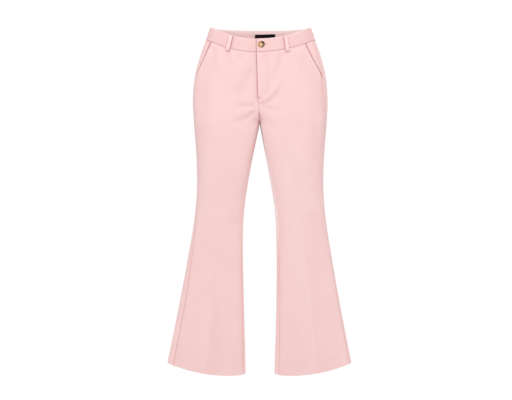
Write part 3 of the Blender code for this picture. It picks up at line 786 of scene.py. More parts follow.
# Painted shade (a positive amount) and painted light (a negative one) on the panels: each tone is
# an amount, a distance and a spread; below them are the heights that it keeps to.
shades = {
    # painted shade along the seams and the band's seam, and a painted highlight just under the band
    "seam": (0.36, 0.3, 1.4), "bandSeam": (0.42, 0, 1.5), "underBandLight": (-0.10, 5, 2.2),
    # a painted highlight by the back's outer edge, painted shade along the allowance's edge and the
    # hem's stitching
    "backEdgeLight": (-0.16, 7, 3.5), "allowance": (0.05, 8.6, 1.1), "hem": (0.03, 0, 1.4),
    # painted highlights along the lap's and the pocket's edges, painted shade along the fly's
    # stitching and the facing's edge
    "edgeLight": (-0.3, 2.4, 1.6), "stitched": (0.10, 0, 1.1), "facingEdgeShade": (0.05, 0, 1.2),
    # painted shadow under the lap and in the inseam where the legs part, and even painted shade on
    # turned-in cloth
    "lapShadow": (1.15, 0.6, 1.5), "partedShade": (1.55, 0.9, 1.7), "inside": 0.15,
    # how much the seams' painted shade is softened at the fork, the thigh and the calf
    "softFork": 0.75, "fork": ((-276, -256), (-222, -208)),
    "softThigh": 0.5, "thigh": ((-300, -340), (-560, -700)), "softCalf": 0.4, "calf": (-560, -640),
    # painted light on the inner thigh by the inseam
    "innerLight": {"left": 0.95, "right": 0.5}, "lightAngles": (146, 167),
    "lightFrom": {"left": (-268, -300), "right": (-345, -400)}, "lightTo": (-560, -700),
    # heights and weakening of the painted shade in the inseam below the fork
    "partedAt": ((-246, -268), (-355, -430)), "partedLess": 0.55, "partedLow": (-322, -360),
    "legFrom": 20, "pocketFrom": (-45, -70), "lapFrom": {"left": (-6, 6), "right": (-8, 2)},
}

beltLoop = {
    "width": 12.1, "rows": 44, "around": 24, "reach": 49.6, "edgeShade": (0.42, 0, 1.1),
    "middleLight": (-0.28, 4.6, 2.2), "shadowInset": 0.4, "shadowSpread": 1.5, "outerShadow": 0.6,
    "edgeSquare": 0.42, "faceSquare": 0.75, "dip": 0.35, "dipRound": 4, "sway": (0.3, 9, 2.1),
    # angle, lean and shadow beside it
    "places": {
        "front_left": (61, 0, 0.78), "front_right": (119.8, 4.5, 1.05),
        "back_left": (-52, 0.8, 0.62), "back_centre": (-90, -0.6, 0.62),
        "back_right": (-124, 0, 0.62),
    },
    # row, lift of the inner face, lift of the outer face
    "path": (
        (-0.5, 0.35, 0.9), (-0.9, 0.45, 2.0), (-2.4, 1.3, 3.2), (-5, 2.2, 4.1), (-9, 2.9, 4.7),
        (-16, 3.3, 5.1), (-25, 3.5, 5.3), (-34, 3.4, 5.2), (-39, 3.1, 4.9), (-42.5, 2.2, 4.4),
        (-44.5, 0.8, 3.9), (-47.4, 0.35, 3.4), (-49.0, 0.35, 2.5), (-49.8, 0.4, 1.0),
    ),
}


def loopShadow(row, angle):  # the tone round the belt loops, deeper towards the front's middle
    n = beltLoop
    tone = np.zeros(angle.shape)
    step = perDegree("left", row, angle)
    for at, lean, shadow in n["places"].values():
        fromMiddle = (angle - at) * step + lean * row / n["reach"]
        inner = np.where(fromMiddle * (1 if at < 90 else -1) > 0, 1, n["outerShadow"])
        beside = np.maximum(np.abs(fromMiddle) - n["width"] / 2 + n["shadowInset"], 0)
        away = np.hypot(beside, np.maximum(-row - n["reach"], 0))
        tone = np.maximum(tone, fading(away, shadow * inner, 0, n["shadowSpread"]))
    return tone


def rollProfile():  # distance from the seam and depth, round a turned-under edge
    flat, r = cloth["allowance"], cloth["roll"]
    profile = [(flat * share, 2 * r) for share in cloth["flatShares"]]
    profile.append((r * cloth["rollStart"], 2 * r))
    for turn in np.radians(cloth["rollTurns"]):
        profile.append((cloth["seamSpace"] + r + r * math.cos(turn), r - r * math.sin(turn)))
    return profile


def spread(count):  # 0 to 1, closer at both ends
    t, even = np.linspace(0, 1, count + 1), cloth["evenShare"]
    return even * t + (1 - even) * (1 - np.cos(np.pi * t)) / 2


def panelRows():  # row and depth, from the edge turned in at the waist to the hem turned up inside
    c = cloth
    top, low = -garment["bandHeight"] - c["waistSpace"], garment["hem"]
    r, roll = c["roll"], c["hemRoll"]
    rows = [(top, c["waistTurn"]), (top, r), (top - c["waistRound"] * r, c["waistRound"] * r)]
    upper = np.arange(top - r, c["fineAbove"], -c["rowStep"])
    lower = np.arange(c["fineAbove"], low + c["hemFlat"], -c["legRowStep"])
    lower = lower[np.abs(lower - low - c["hemStitch"]) > c["hemStitchClear"]]
    hemLine = low + c["hemStitch"] + np.array(c["hemStitchRows"])
    faceRows = np.sort(np.concatenate((upper, lower, hemLine, (low + c["hemFlat"],))))[::-1]
    rows += [(z, 0) for z in faceRows]
    for turn in np.radians(c["hemTurns"]):
        rows.append((low + roll + roll * math.cos(turn), roll - roll * math.sin(turn)))
    firstTurned = len(rows) - c["hemTurnsInside"]
    rows += [(low + up, 2 * roll) for up in c["hemRows"]]
    return np.array(rows), firstTurned


def frontTone(side, x, z, angle, fromStart, tone):  # painted light and shade at the crease and the fly, and painted shade in the inseam where the legs part below the fork
    s = shades
    pressed = ease(z, crease["top"], crease["full"])
    beside = besideCrease(side, z, angle)
    # a painted highlight along the crease and a step of painted light and shade across it
    tone = tone + pressed * fading(np.abs(beside), *crease["line"])
    grown = crease["stepAtTop"] + (1 - crease["stepAtTop"]) * ease(z, *crease["stepGrows"])
    step = fading(np.abs(beside), crease["step"], 0, crease["stepSpread"])
    tone = tone + pressed * grown * step * np.tanh(beside / crease["stepEdge"])
    # painted shade along the fly's stitching and the facing's edge, and a painted highlight along
    # the lap's edge
    onLap = nearFlyEnd(z, s["lapFrom"][side])
    if side == "left":
        for line in ("stitched", "facingEdgeShade"):
            tone = tone + ridge(awayFromPath(x, z, fly[line]), *s[line])
        return tone + onLap * ridge(fromStart, *s["edgeLight"])
    # painted shadow under the lap
    tone = np.maximum(tone, onLap * fading(seamX("front", z) - x, *s["lapShadow"]))
    # painted shade in the inseam where the legs part below the fork
    partedShade = between(z, *s["partedAt"]) * (1 - s["partedLess"] * ease(z, *s["partedLow"]))
    return np.maximum(tone, partedShade * fading(fromStart, *s["partedShade"]))


def panelTone(side, face, row, angle, height, fromStart, fromEnd):  # painted shade and light at seams, edges and folds, round the belt loops and on the inner thigh
    s, isFront = shades, face == "front"
    base = skin(side, height, angle)
    x, z = base[..., 0], base[..., 2]
    # how much of the seams' painted shade is kept at the thigh, fork and calf
    soft = 1 - s["softThigh"] * between(z, *s["thigh"])
    if isFront:
        soft = soft * (1 - s["softFork"] * between(z, *s["fork"]))
    if side == "left":
        soft = soft * (1 - s["softCalf"] * ease(z, *s["calf"]))
    onLeg = ease(row, forkTop, forkTop - s["legFrom"])
    # painted shade along both seams, with a painted highlight by a back's outer edge
    atEnd = fading(fromEnd, *s["seam"])
    atEnd = atEnd * onLeg if isFront else atEnd + ridge(fromEnd, *s["backEdgeLight"])
    tone = soft * fading(fromStart, *s["seam"]) + atEnd
    belowBand = -row - garment["bandHeight"]
    # painted shade along the band's seam and a painted highlight just under it
    tone = np.maximum(tone, fading(np.abs(belowBand), *s["bandSeam"]))
    tone = tone + ridge(belowBand, *s["underBandLight"])
    # painted shade along the allowances' edges and the hem's stitching
    tone = tone + onLeg * (ridge(fromStart, *s["allowance"]) + ridge(fromEnd, *s["allowance"]))
    tone = tone + ridge(row - garment["hem"] - cloth["hemStitch"], *s["hem"])
    # painted shade and light of the folds and broad bands
    tone = tone + foldsAt(np.full(x.shape, isFront), x, z)[1]
    fromLeft = angle if side == "left" else np.where(angle > 0, 180, -180) - angle
    tone = tone + loopShadow(row, fromLeft)
    # painted light on the inner thigh by the inseam
    lit = s["innerLight"][side] * between(z, s["lightFrom"][side], s["lightTo"])
    tone = tone - lit * ease(np.abs(angle), *s["lightAngles"])
    if isFront:
        tone = frontTone(side, x, z, angle, fromStart, tone)
        # a painted highlight along the pocket's edge
        onPocket = (1 - onLeg) * ease(row, *s["pocketFrom"])
        tone = tone + onPocket * ridge(fromEnd, *s["edgeLight"])
    return tone


def panel(side, face):  # a front or a back, its seam edges turned under and its hem turned up
    g, c, isFront = garment, cloth, face == "front"
    rows, firstTurned = panelRows()
    rowAt, rowDepth = rows.T
    start = innerAngle(side, face, rowAt)
    end = outerAngle(side, face, rowAt)
    middle = creaseColumn(side, face, rowAt)
    toEnd = np.sign(end - start)
    startStep, endStep = perDegree(side, rowAt, start), perDegree(side, rowAt, end)
    profile = rollProfile()
    facing = np.full(rowAt.shape, float(c["allowance"]))
    if isFront and side == "left":
        facing = facing + (c["lapFacing"] - facing) * nearFlyEnd(rowAt, fly["facingFrom"])
    angles = []
    for i, (distance, depth) in enumerate(profile):
        length = facing * c["flatShares"][i] if i < len(c["flatShares"]) else distance
        angles.append(start + toEnd * length / startStep)
    edge = c["roll"] + c["seamSpace"]
    first, last = start + toEnd * edge / startStep, end - toEnd * edge / endStep
    half = c["columns"][face] // 2
    angles += [first + (middle - first) * t for t in spread(half)[1:]]
    creaseIndex = len(angles) - 1
    angles += [middle + (last - middle) * t for t in spread(half)[1:-1]]
    angles += [end - toEnd * distance / endStep for distance, depth in reversed(profile)]
    depths = [depth for distance, depth in profile]
    depths = depths + [0] * (2 * half - 1) + depths[::-1]
    angle = np.stack(angles, axis=1)
    columns = angle.shape[1]
    row = rowAt[:, None].repeat(columns, axis=1)
    height = tilted(side, row, angle)
    depth = rowDepth[:, None] + np.array(depths)[None, :]
    fromStart = np.abs(angle - start[:, None]) * startStep[:, None]
    fromEnd = np.abs(angle - end[:, None]) * endStep[:, None]
    tone = panelTone(side, face, row, angle, height, fromStart, fromEnd)
    # turned-in cloth gets an even painted shade
    tone = np.where(depth < c["roll"], tone, shades["inside"])
    x = skin(side, height, angle)[..., 0]
    if isFront and side == "right":
        depth = depth + flyPress(x, height, fly["press"])
    elif isFront:
        onLap = nearFlyEnd(height, fly["lapRiseFrom"])
        depth = depth - onLap * fading(fromStart, fly["lapRise"], 0, fly["lapRiseSpread"])
        depth = depth + ridge(awayFromPath(x, height, fly["stitched"]), *c["stitchRise"])
    if isFront:
        along = np.clip((-g["bandHeight"] - row) / (-g["bandHeight"] - forkTop), 0, 1)
        gape = c["pocketGape"] * np.sin(np.pi * along) ** c["pocketGapeRound"]
        depth = depth - fading(fromEnd, gape, 0, c["pocketGapeSpread"])
    depth = depth + ridge(row - g["hem"] - c["hemStitch"], *c["hemDent"])
    points = clothAt(side, height, angle, -depth)
    seam = seamX(face, points[..., 2])
    hidden = underlap(side, points[..., 2]) if isFront else 0
    reach = np.maximum(sign[side] * (points[..., 0] - seam), c["leastReach"] - hidden)
    points[..., 0] = seam + sign[side] * reach
    aim = (c["aimRow"], creaseIndex)  # a face well down the crease
    direction = outward(side, float(height[aim]), float(angle[aim]))
    edge = len(profile) - c["bareHemEdge"]  # the turned-up hem has no seam allowances
    cutAway = np.zeros((len(rows) - 1, columns - 1), bool)
    cutAway[firstTurned:, :edge] = True
    cutAway[firstTurned:, columns - 1 - edge:] = True
    return wall(face + side.capitalize() + "Cloth", points, tone, pinkCloth, c["thickness"], aim,
                direction, creaseIndex, cutAway)


clothPieces = {}
for side in sign:
    for face in ("front", "back"):
        clothPieces[face + "_" + side] = panel(side, face)
print("panels cut")


band = {
    "thickness": 3.0, "bottomRound": 0.9, "endRound": 1.5, "spacing": 2.0, "seamSpace": 0.12,
    # tone deepens the whole band; painted shade towards its sides and at its ends, painted shadow
    # under the lap, painted light on its inside and along its top
    "crown": 0.35, "tone": 0.09, "sideShade": 0.05, "sideFrom": (60, 130),
    "insideLight": (-0.7, -0.1), "insideRows": (-3, -15), "endShade": (0.25, 0, 1.0),
    "topLight": (-0.6, 0, 1.6), "underShade": (0.9, 0.8, 2.0), "samples": 200,
    "endSteps": 6, "outerRows": 18, "innerRows": 10,
}


def endColumns(length, radius, spacing):  # places along a piece, and how full it is at each
    near = radius * (1 - np.cos(np.radians(np.linspace(0, 90, band["endSteps"]))))
    count = max(4, int((length - 2 * radius) / spacing))
    middle = np.linspace(radius, length - radius, count)[1:-1]
    places = np.concatenate((near, middle, length - near[::-1]))
    edge = np.minimum(places, length - places)
    full = np.sqrt(np.clip(1 - (1 - np.clip(edge / radius, 0, 1)) ** 2, 0, 1))
    return places, full


def foldedLoop(height, thickness, low, top):  # row and depth round a strip folded at its top
    def bend(z, y, radius, turns):  # round an arc about one corner's middle
        turns = np.radians(turns)
        return list(zip(z + radius * np.sin(turns), y - radius * np.cos(turns)))

    foot = low - height
    loop = bend(foot, low, low, (-90, -60, -30, 0))
    loop += [(z, 0) for z in np.linspace(foot, -top, band["outerRows"])[1:]]
    loop += bend(-top, top, top, np.arange(20, 91, 10))
    loop += bend(-top, thickness - top, top, np.arange(100, 181, 10))
    loop += [(z, thickness) for z in np.linspace(-top, foot, band["innerRows"])[1:]]
    loop += bend(foot, thickness - low, low, (210, 240, 270))
    return np.array(loop + loop[:1]).T


def bandPiece(name, start, end, under=False):  # a doubled length of waistband, its ends turned in
    b = band
    tall, radius = garment["bandHeight"], b["thickness"] / 2
    rowAt, rowDepth = foldedLoop(tall - b["seamSpace"], b["thickness"], b["bottomRound"], radius)
    samples = np.linspace(start, end, b["samples"])
    along = travelled(skin("left", tilted("left", -tall / 2, samples), samples))
    places, full = endColumns(along[-1], b["endRound"], b["spacing"])
    angle = np.interp(places, along, samples)[None, :].repeat(len(rowAt), axis=0)
    row = rowAt[:, None].repeat(len(places), axis=1)
    outerFace = rowDepth[:, None] < radius
    crown = b["crown"] * np.sin(np.pi * np.clip(-row / tall, 0, 1)) * outerFace
    depth = radius + (rowDepth[:, None] - radius - crown) * full[None, :]
    height = tilted("left", row, angle)
    if under:
        depth = depth + flyPress(skin("left", height, angle)[..., 0], height, fly["bandPress"])
    points = clothAt("left", height, angle, -depth)
    # painted shade along the seam and at the ends, painted shadow beside the loops
    tone = fading(np.abs(row + tall), *shades["bandSeam"])
    tone = np.maximum(tone, fading(np.minimum(places, along[-1] - places), *b["endShade"]))
    tone = np.maximum(tone, loopShadow(row, angle))
    # the whole band a little deeper, with painted shade towards its sides
    tone = tone + b["tone"] + b["sideShade"] * ease(np.abs(points[..., 0]), *b["sideFrom"])
    # a painted highlight along the top
    tone = tone + fading(np.abs(row), *b["topLight"])
    # painted shadow under the lap
    if under:
        past = seamX("front", height) - points[..., 0]
        tone = np.maximum(tone, fading(past, *b["underShade"]))
    # painted light on the inside, most near the top
    atTop, lower = b["insideLight"]
    inside = atTop + (lower - atTop) * ease(row, *b["insideRows"])
    return tubeSheet(name, points, pinkCloth, stripUV(points), np.where(outerFace, tone, inside))


def makeWaistband():
    middle = -garment["bandHeight"] / 2
    left, right = float(outseamAt["left"](middle)), 180 - float(outseamAt["right"](middle))
    gapLeft, gapRight = [band["seamSpace"] / float(perDegree("left", middle, seam))
                         for seam in (left, right)]
    under = 90 - fly["bandUnderlap"] / float(perDegree("left", middle, 90))
    return {
        "waistband_left": bandPiece("waistbandLeftCloth", left + gapLeft, 90),
        "waistband_right": bandPiece("waistbandRightCloth", under, right - gapRight, under=True),
        "waistband_back": bandPiece(
            "waistbandBackCloth", left - gapLeft, right + gapRight - 360),
    }


pocket = {
    "deep": 3.3, "under": 15, "below": 12, "sinkTop": -132, "sinkFull": -158, "behind": 8,
    "rows": 64, "columns": 34, "tone": 1.0, "shadow": {"left": 5, "right": 7.5},
    "shadowSpread": 1.7, "shadowFrom": (-36, -46), "leastGap": 1, "tuckFrom": (0.3, 1),
    "edgeRound": 1.4, "aim": (20, 14),
}


def pocketFacing(side):  # shows inside a slanted pocket, and runs on under the front
    p = pocket
    top = -garment["bandHeight"] - cloth["waistSpace"]
    rowAt = np.linspace(top, forkTop - p["below"], p["rows"])
    sunk = ease(rowAt, p["sinkTop"], p["sinkFull"])
    seam = outseamAt[side](rowAt)
    opening = np.maximum(pocketAt[side](rowAt), seam + p["leastGap"])
    seamStep, openStep = perDegree(side, rowAt, seam), perDegree(side, rowAt, opening)
    tucked = p["behind"] * ease(sunk, *p["tuckFrom"]) / seamStep
    profile = rollProfile()
    angles = [seam + distance / seamStep - tucked for distance, depth in profile]
    first = seam + (cloth["roll"] + cloth["seamSpace"]) / seamStep
    last = opening + p["under"] / openStep
    for t in np.linspace(0, 1, p["columns"])[1:]:
        angles.append(first - tucked * (1 - t) + (last - first) * t)
    depths = [depth for distance, depth in profile] + [0] * (p["columns"] - 1)
    angle = np.stack(angles, axis=1)
    columns = angle.shape[1]
    height = tilted(side, rowAt[:, None].repeat(columns, axis=1), angle)
    toEdge = np.clip((angle - first[:, None]) / (opening - first)[:, None], 0, 1)
    sunkAt = np.maximum(sunk[:, None], toEdge ** p["edgeRound"])
    depth = np.array(depths)[None, :] + p["deep"] * sunkAt
    points = clothAt(side, height, angle, -depth)
    outside = (opening[:, None] - angle) * openStep[:, None]
    # painted shadow on the facing inside the opening, and painted shade along its seam
    tone = fading(outside, p["tone"], p["shadow"][side], p["shadowSpread"])
    tone = tone * ease(rowAt, *p["shadowFrom"])[:, None]
    fromSeam = np.abs(angle - seam[:, None]) * seamStep[:, None]
    amount, start, width = shades["seam"]
    tone = np.maximum(tone, fading(fromSeam, amount, 0, width))
    aim = p["aim"]  # a face near the facing's middle
    direction = outward(side, float(height[aim]), float(angle[aim]))
    return wall(f"pocket{side.capitalize()}Cloth", points, tone, pinkCloth, cloth["thickness"],
                aim, direction)


def beltLoopStrip(number, place):  # a doubled strip, sewn in at the top and folded under below
    n = beltLoop
    angle, lean, shadow = n["places"][place]
    path = np.array(n["path"])[::-1]
    rows = np.linspace(path[0, 0], path[-1, 0], n["rows"])
    low, high = [np.interp(rows, path[:, 0], path[:, i]) for i in (1, 2)]
    ring = np.linspace(0, 2 * np.pi, n["around"] + 1)
    edgewise = np.sign(np.cos(ring)) * np.abs(np.cos(ring)) ** n["edgeSquare"]
    upDown = np.sign(np.sin(ring)) * np.abs(np.sin(ring)) ** n["faceSquare"]
    dip = n["dip"] * np.abs(edgewise) ** n["dipRound"] * (upDown > 0)
    lift = (low + high) / 2 + (high - low) / 2 * upDown[:, None] - dip[:, None]
    reach, pitch, turn = n["sway"]
    sway = reach * np.sin(rows / pitch + number * turn) - lean * rows / n["reach"]
    across = edgewise[:, None] * n["width"] / 2 + sway
    turned = angle + across / perDegree("left", rows, angle)
    loop = clothAt("left", tilted("left", rows, turned), turned, lift)
    fromEdge = n["width"] / 2 * (1 - np.abs(edgewise))[:, None]
    tone = fading(fromEdge, *n["edgeShade"]) + ridge(fromEdge, *n["middleLight"])
    name = "beltLoop" + "".join(word.capitalize() for word in place.split("_"))
    return tubeSheet(name, loop, pinkCloth, clothUV(loop), tone)


clothPieces.update(makeWaistband())
for side in sign:
    clothPieces["pocket_" + side] = pocketFacing(side)
for number, place in enumerate(beltLoop["places"]):
    clothPieces["loop_" + place] = beltLoopStrip(number, place)
print("waistband, pockets and loops sewn on")


tab = {
    "width": 63, "top": -11.5, "height": 10.6, "depth": 3.3, "thickness": 0.8, "columns": 40,
    "tilt": 1.8, "fold": (0.15, 3, 0.7), "stitchIn": 3, "stitchClear": 0.8,
    "stitchLength": 1.8, "stitchGap": 0.5, "stitchRadius": 0.2,
}


def tabSpan(half):  # the angles this far to each side of the tab's middle
    middleRow = tab["top"] - tab["height"] / 2
    middle = float(angleAt(middleRow, 0, "back"))
    reach = half / float(perDegree("left", middleRow, middle))
    return middle - reach, middle + reach


def blackTab():  # a bare woven tab with its ends folded under, inside the waistband's back
    t = tab
    start, end = tabSpan(t["width"] / 2)
    radius = t["thickness"] / 2
    rowAt, rowDepth = foldedLoop(t["height"], t["thickness"], radius - 0.01, radius - 0.01)
    places, full = endColumns(t["width"], radius, t["width"] / t["columns"])
    share = places / t["width"]
    angle = (start + (end - start) * share)[None, :].repeat(len(rowAt), axis=0)
    row = (rowAt + t["top"])[:, None] + t["tilt"] * (share - 0.5)[None, :]
    depth = radius + (rowDepth[:, None] - radius) * full[None, :]
    fromEnd = np.minimum(places, t["width"] - places)
    depth = depth + t["depth"] + ridge(fromEnd, *t["fold"])
    points = onRow("left", row, angle, -depth)[0]
    return tubeSheet("blackTab", points, blackWeave, stripUV(points))


blackTabPiece = blackTab()


buttonShape = {
    "fromLap": 13, "height": -58, "clear": 0.5, "sides": 64, "holeRadius": 0.95,
    "holesFromMiddle": 2.15, "holeSides": 20, "threadRadius": 0.3, "threadHeight": 2.55,
    "strands": (-0.34, 0, 0.34), "threadPast": 0.5, "threadRound": 0.5,
    # radius and height of each ring, from the dished middle over the rim and round to the back
    "rings": ((1.0, 2.25), (4.4, 2.2), (5.6, 2.4), (6.4, 2.95), (7.1, 3.5), (7.9, 3.85),
              (8.7, 3.8), (9.4, 3.4), (10.0, 2.7), (10.3, 1.9), (10.15, 1.1), (9.6, 0.5),
              (8.8, 0.12), (8.0, 0), (1.0, 0)),
}


def buttonPlace():  # the middle of the button's back, and its directions across, up and out
    b = buttonShape
    angle = float(angleAt(b["height"], b["fromLap"], "front"))
    out = Vector(outward("left", b["height"], angle))
    middle = Vector(skin("left", b["height"], angle)) + out * b["clear"]
    right = Vector((0, 0, 1)).cross(out).normalized()
    return middle * mm, right, out.cross(right), out


def turnedButton():  # a dished four-hole button
    b = buttonShape
    middle, right, up, out = buttonPlace()
    pickOnly()
    radius, height = b["rings"][0]
    bpy.ops.mesh.primitive_circle_add(vertices=b["sides"], radius=radius * mm, fill_type="NGON",
                                      location=(0, 0, height * mm))
    piece = named("hornButton")
    pickOnly(piece)
    bpy.ops.object.mode_set(mode="EDIT")
    bpy.ops.mesh.select_mode(type="EDGE")
    bpy.ops.mesh.select_all(action="SELECT")
    for nextRadius, nextHeight in b["rings"][1:]:
        bpy.ops.mesh.extrude_edges_move()
        share = nextRadius / radius
        bpy.ops.transform.resize(value=(share, share, 1), center_override=(0, 0, 0))
        bpy.ops.transform.translate(value=(0, 0, (nextHeight - height) * mm))
        radius, height = nextRadius, nextHeight
    bpy.ops.mesh.edge_face_add()
    bpy.ops.object.mode_set(mode="OBJECT")
    editAll(piece, bpy.ops.mesh.normals_make_consistent, inside=False)
    for turn in np.radians((45, 135, 225, 315)):
        at = Vector((math.cos(turn), math.sin(turn), 0)) * b["holesFromMiddle"] * mm
        drilled(piece, b["holeSides"], b["holeRadius"], 0.02, location=at)
    turned = Matrix((right, up, out)).transposed().to_4x4()
    turned.translation = middle
    piece.matrix_world = turned
    applyPlace(piece)
    return smooth(piece, hornFinish("mottledHorn", middle, right, up), 35)


hornButton = turnedButton()
print("button turned")


stitch = {"sides": 6, "rings": 6, "radius": 0.28, "length": 2.5, "gap": 0.6, "sink": 0.05}
tack = {
    "length": 7.5, "across": 2.2, "pitch": 0.5, "radius": 0.26, "lean": 0.35, "loopAcross": 1.8,
    "rise": 0.6, "uneven": 0.06, "unevenTurn": 2.3, "flyLift": 1.0, "pocketLift": 0.1,
    "pocketBelow": 1, "pocketTurn": 0.4,
    "loopRow": -45.6, "loopInset": 1.4, "flyEnd": ((-7.2, -213.2), (1.2, -216.4)),
}
buttonhole = {
    "middle": 12, "from": 5.5, "to": 21.2, "height": -57.6, "half": 1.7, "pitch": 0.42,
    "radius": 0.24, "slit": 0.35, "lift": 0.45,
}
hemPrick = {"length": 1.1, "pitch": 9, "radius": 0.16, "lift": -0.35}

bpy.ops.object.select_all(action="DESELECT")
bpy.ops.mesh.primitive_uv_sphere_add(segments=stitch["sides"], ring_count=stitch["rings"], radius=1)
ball, ballFaces = oneOfMany()  # drawn out along X into a short length of thread with round ends
ball = ball[:, (2, 0, 1)]


def threadMesh(name, stitches, finish=pinkThread):  # stitches are from, to, out and radius
    copies = []
    for begin, ending, out, radius in stitches:
        along = ending - begin
        length = np.linalg.norm(along)
        along = along / length
        beside = np.cross(out, along)
        beside = beside / np.linalg.norm(beside)
        reach = max(length / 2 - radius, 0)
        spine = np.sign(np.round(ball[:, 0], 3)) * reach + ball[:, 0] * radius
        across, up = ball[:, 1] * radius, ball[:, 2] * radius
        shape = np.outer(spine, along) + np.outer(across, beside)
        shape = shape + np.outer(up, np.cross(along, beside))
        copies.append((shape + (begin + ending) / 2) * mm)
    return meshOfMany(name, copies, ballFaces, finish, 60)


def runOfStitches(points, outs, length, gap, radius):  # stitches along a line of points
    points, outs = np.array(points), np.array(outs)
    run = travelled(points)
    made = []
    for begin in np.arange(0, run[-1] - length, length + gap):
        ends = []
        for at in (begin, begin + length):
            place, out = [np.array([np.interp(at, run, line[:, i]) for i in range(3)])
                          for line in (points, outs)]
            ends.append(place + out * (radius - stitch["sink"]))
        made.append((*ends, out, radius))
    return made


def frontLine(path, lift, count=140):  # points on the cloth along x and height, and their normals
    path = np.array(path, float)
    run = travelled(path)
    along = np.linspace(0, run[-1], count)
    xs, heights = [np.interp(along, run, path[:, i]) for i in (0, 1)]
    return zip(*[frontPoint(x, z, lift) for x, z in zip(xs, heights)])


def satinBar(ends, out, across=tack["across"]):  # close stitches that lie across a short line
    begin, run = ends[0], ends[1] - ends[0]
    length, radius = np.linalg.norm(run), tack["radius"]
    beside = np.cross(out, run / length)
    made = []
    for i, at in enumerate(np.arange(0, length, tack["pitch"])):
        place = begin + run * at / length + out * radius * tack["rise"]
        uneven = 1 + tack["uneven"] * math.sin(i * tack["unevenTurn"])
        half = beside * across / 2 * uneven
        made.append((place - half, place + half, out, radius))
    return made


def clothStitches():  # the fly's topstitching, bar tacks and the hem's blind stitches
    s, h = stitch, hemPrick
    line = frontLine(fly["stitched"], fly["stitchLift"])
    made = runOfStitches(*line, s["length"], s["gap"], s["radius"])
    for side in sign:  # a bar tack at the lower end of each pocket
        low = forkTop - tack["pocketBelow"]
        angle = float(pocketAt[side](low)) + tack["pocketTurn"]
        leant = tack["length"] * tack["lean"] / float(perDegree(side, low, angle))
        heights = np.array((low + tack["length"] / 2, low - tack["length"] / 2))
        ends = clothAt(side, heights, np.array((angle, angle + leant)), tack["pocketLift"])
        made += satinBar(ends, outward(side, low, angle))
    ends, outs = frontLine(tack["flyEnd"], tack["flyLift"], 2)
    made += satinBar(ends, outs[0])
    row = np.array(garment["hem"] + cloth["hemStitch"])
    for face in ("front", "back"):  # blind stitches that catch the hem's edge
        for side in sign:
            begin, end = innerAngle(side, face, row), outerAngle(side, face, row)
            line = onRow(side, row, np.linspace(begin, end, 160)[4:-4], h["lift"])
            made += runOfStitches(*line, h["length"], h["pitch"], h["radius"])
    return threadMesh("sewingThread", made)


def loopTacks():  # the stitching that holds each belt loop's lower end
    made = []
    row = tack["loopRow"]
    rows, _, lifts = np.array(beltLoop["path"])[::-1].T
    lift = np.interp(row, rows, lifts) - stitch["sink"]
    for angle, lean, shadow in beltLoop["places"].values():
        reach = (beltLoop["width"] / 2 - tack["loopInset"]) / float(perDegree("left", row, angle))
        ends, outs = onRow("left", row, np.array((angle - reach, angle + reach)), lift)
        made += satinBar(ends, (outs[0] + outs[1]) / 2, tack["loopAcross"])
    return threadMesh("loopTacks", made)


def buttonholeStitches():  # satin stitches round the buttonhole's end, beside the button
    h = buttonhole
    middle = float(seamX("front", h["height"])) + h["middle"]
    turning = h["to"] - h["half"]
    # place along the hole, and the direction across it
    spokes = [(x, 0, side) for x in np.arange(h["from"], turning, h["pitch"]) for side in (-1, 1)]
    spokes += [(turning, math.cos(turn), math.sin(turn))
               for turn in np.radians(np.arange(-80, 81, 13))]
    made = []
    for x, alongShare, upShare in spokes:
        (begin, out), (end, _) = [
            frontPoint(middle + x + away * alongShare, h["height"] + away * upShare, h["lift"])
            for away in (h["slit"], h["half"])]
        made.append((begin, end, out, h["radius"]))
    return threadMesh("buttonholeThread", made)


def buttonThread():  # the thread through the button's holes
    b = buttonShape
    middle, right, up, out = [np.array(part) for part in buttonPlace()]
    reach = b["holesFromMiddle"] * math.cos(math.radians(45))
    half = right * (reach + b["threadPast"])
    made = []
    for line in (-1, 1):
        for strand in b["strands"]:
            base = middle / mm + up * (line * reach + strand)
            base = base + out * (b["threadHeight"] - abs(strand) * b["threadRound"])
            made.append((base - half, base + half, out, b["threadRadius"]))
    return threadMesh("buttonThread", made, creamThread)


def tabStitches():  # a short line of stitches at each end of the black tab
    t = tab
    made = []
    rows = np.linspace(t["top"] - t["stitchClear"], t["top"] - t["height"] + t["stitchClear"], 30)
    for angle in tabSpan(t["width"] / 2 - t["stitchIn"]):
        points, outs = onRow("left", rows, np.full(rows.shape, angle), -t["depth"] - t["thickness"])
        made += runOfStitches(points, -outs, t["stitchLength"], t["stitchGap"], t["stitchRadius"])
    return threadMesh("tabStitches", made, blackThread)


threadPieces = {
    "cloth": (clothStitches(), loopTacks(), buttonholeStitches()),
    "button": (buttonThread(),),
    "tab": (tabStitches(),),
}
print("stitches sewn")


zipper = {
    "top": -48, "bottom": -206, "rows": 70, "columns": 9, "tapeWidth": 12.4, "gapToTeeth": 0.9,
    "depth": 6.4, "thickness": 0.6, "seam": (0.5, 0.35, 0.05), "toothPitch": 2.1,
    "tooth": (3.2, 1.5, 1.05), "toothBevel": 0.22, "toothOut": 0.75, "teethFrom": 11,
    "teethTo": 6, "slider": (8, 3.2, 11), "sliderTaper": 0.16, "bridge": (2.2, 1.6, 6.4),
    "pull": (4.6, 1.1, 17), "pullHole": 1.2, "pullHoleDown": 5.6, "aim": (30, 4),
    "sliderClear": 0.2, "bevels": (0.7, 0.5, 0.45), "bridgeAt": (0.7, 1.0), "pullAt": (1.2, -1.0),
}


def behindFly(row, across, depth):  # a point behind the right front, this far from the seam
    height = tilted("right", row, 90)
    return clothAt("right", height, angleAt(height, -across, "front"), -depth)


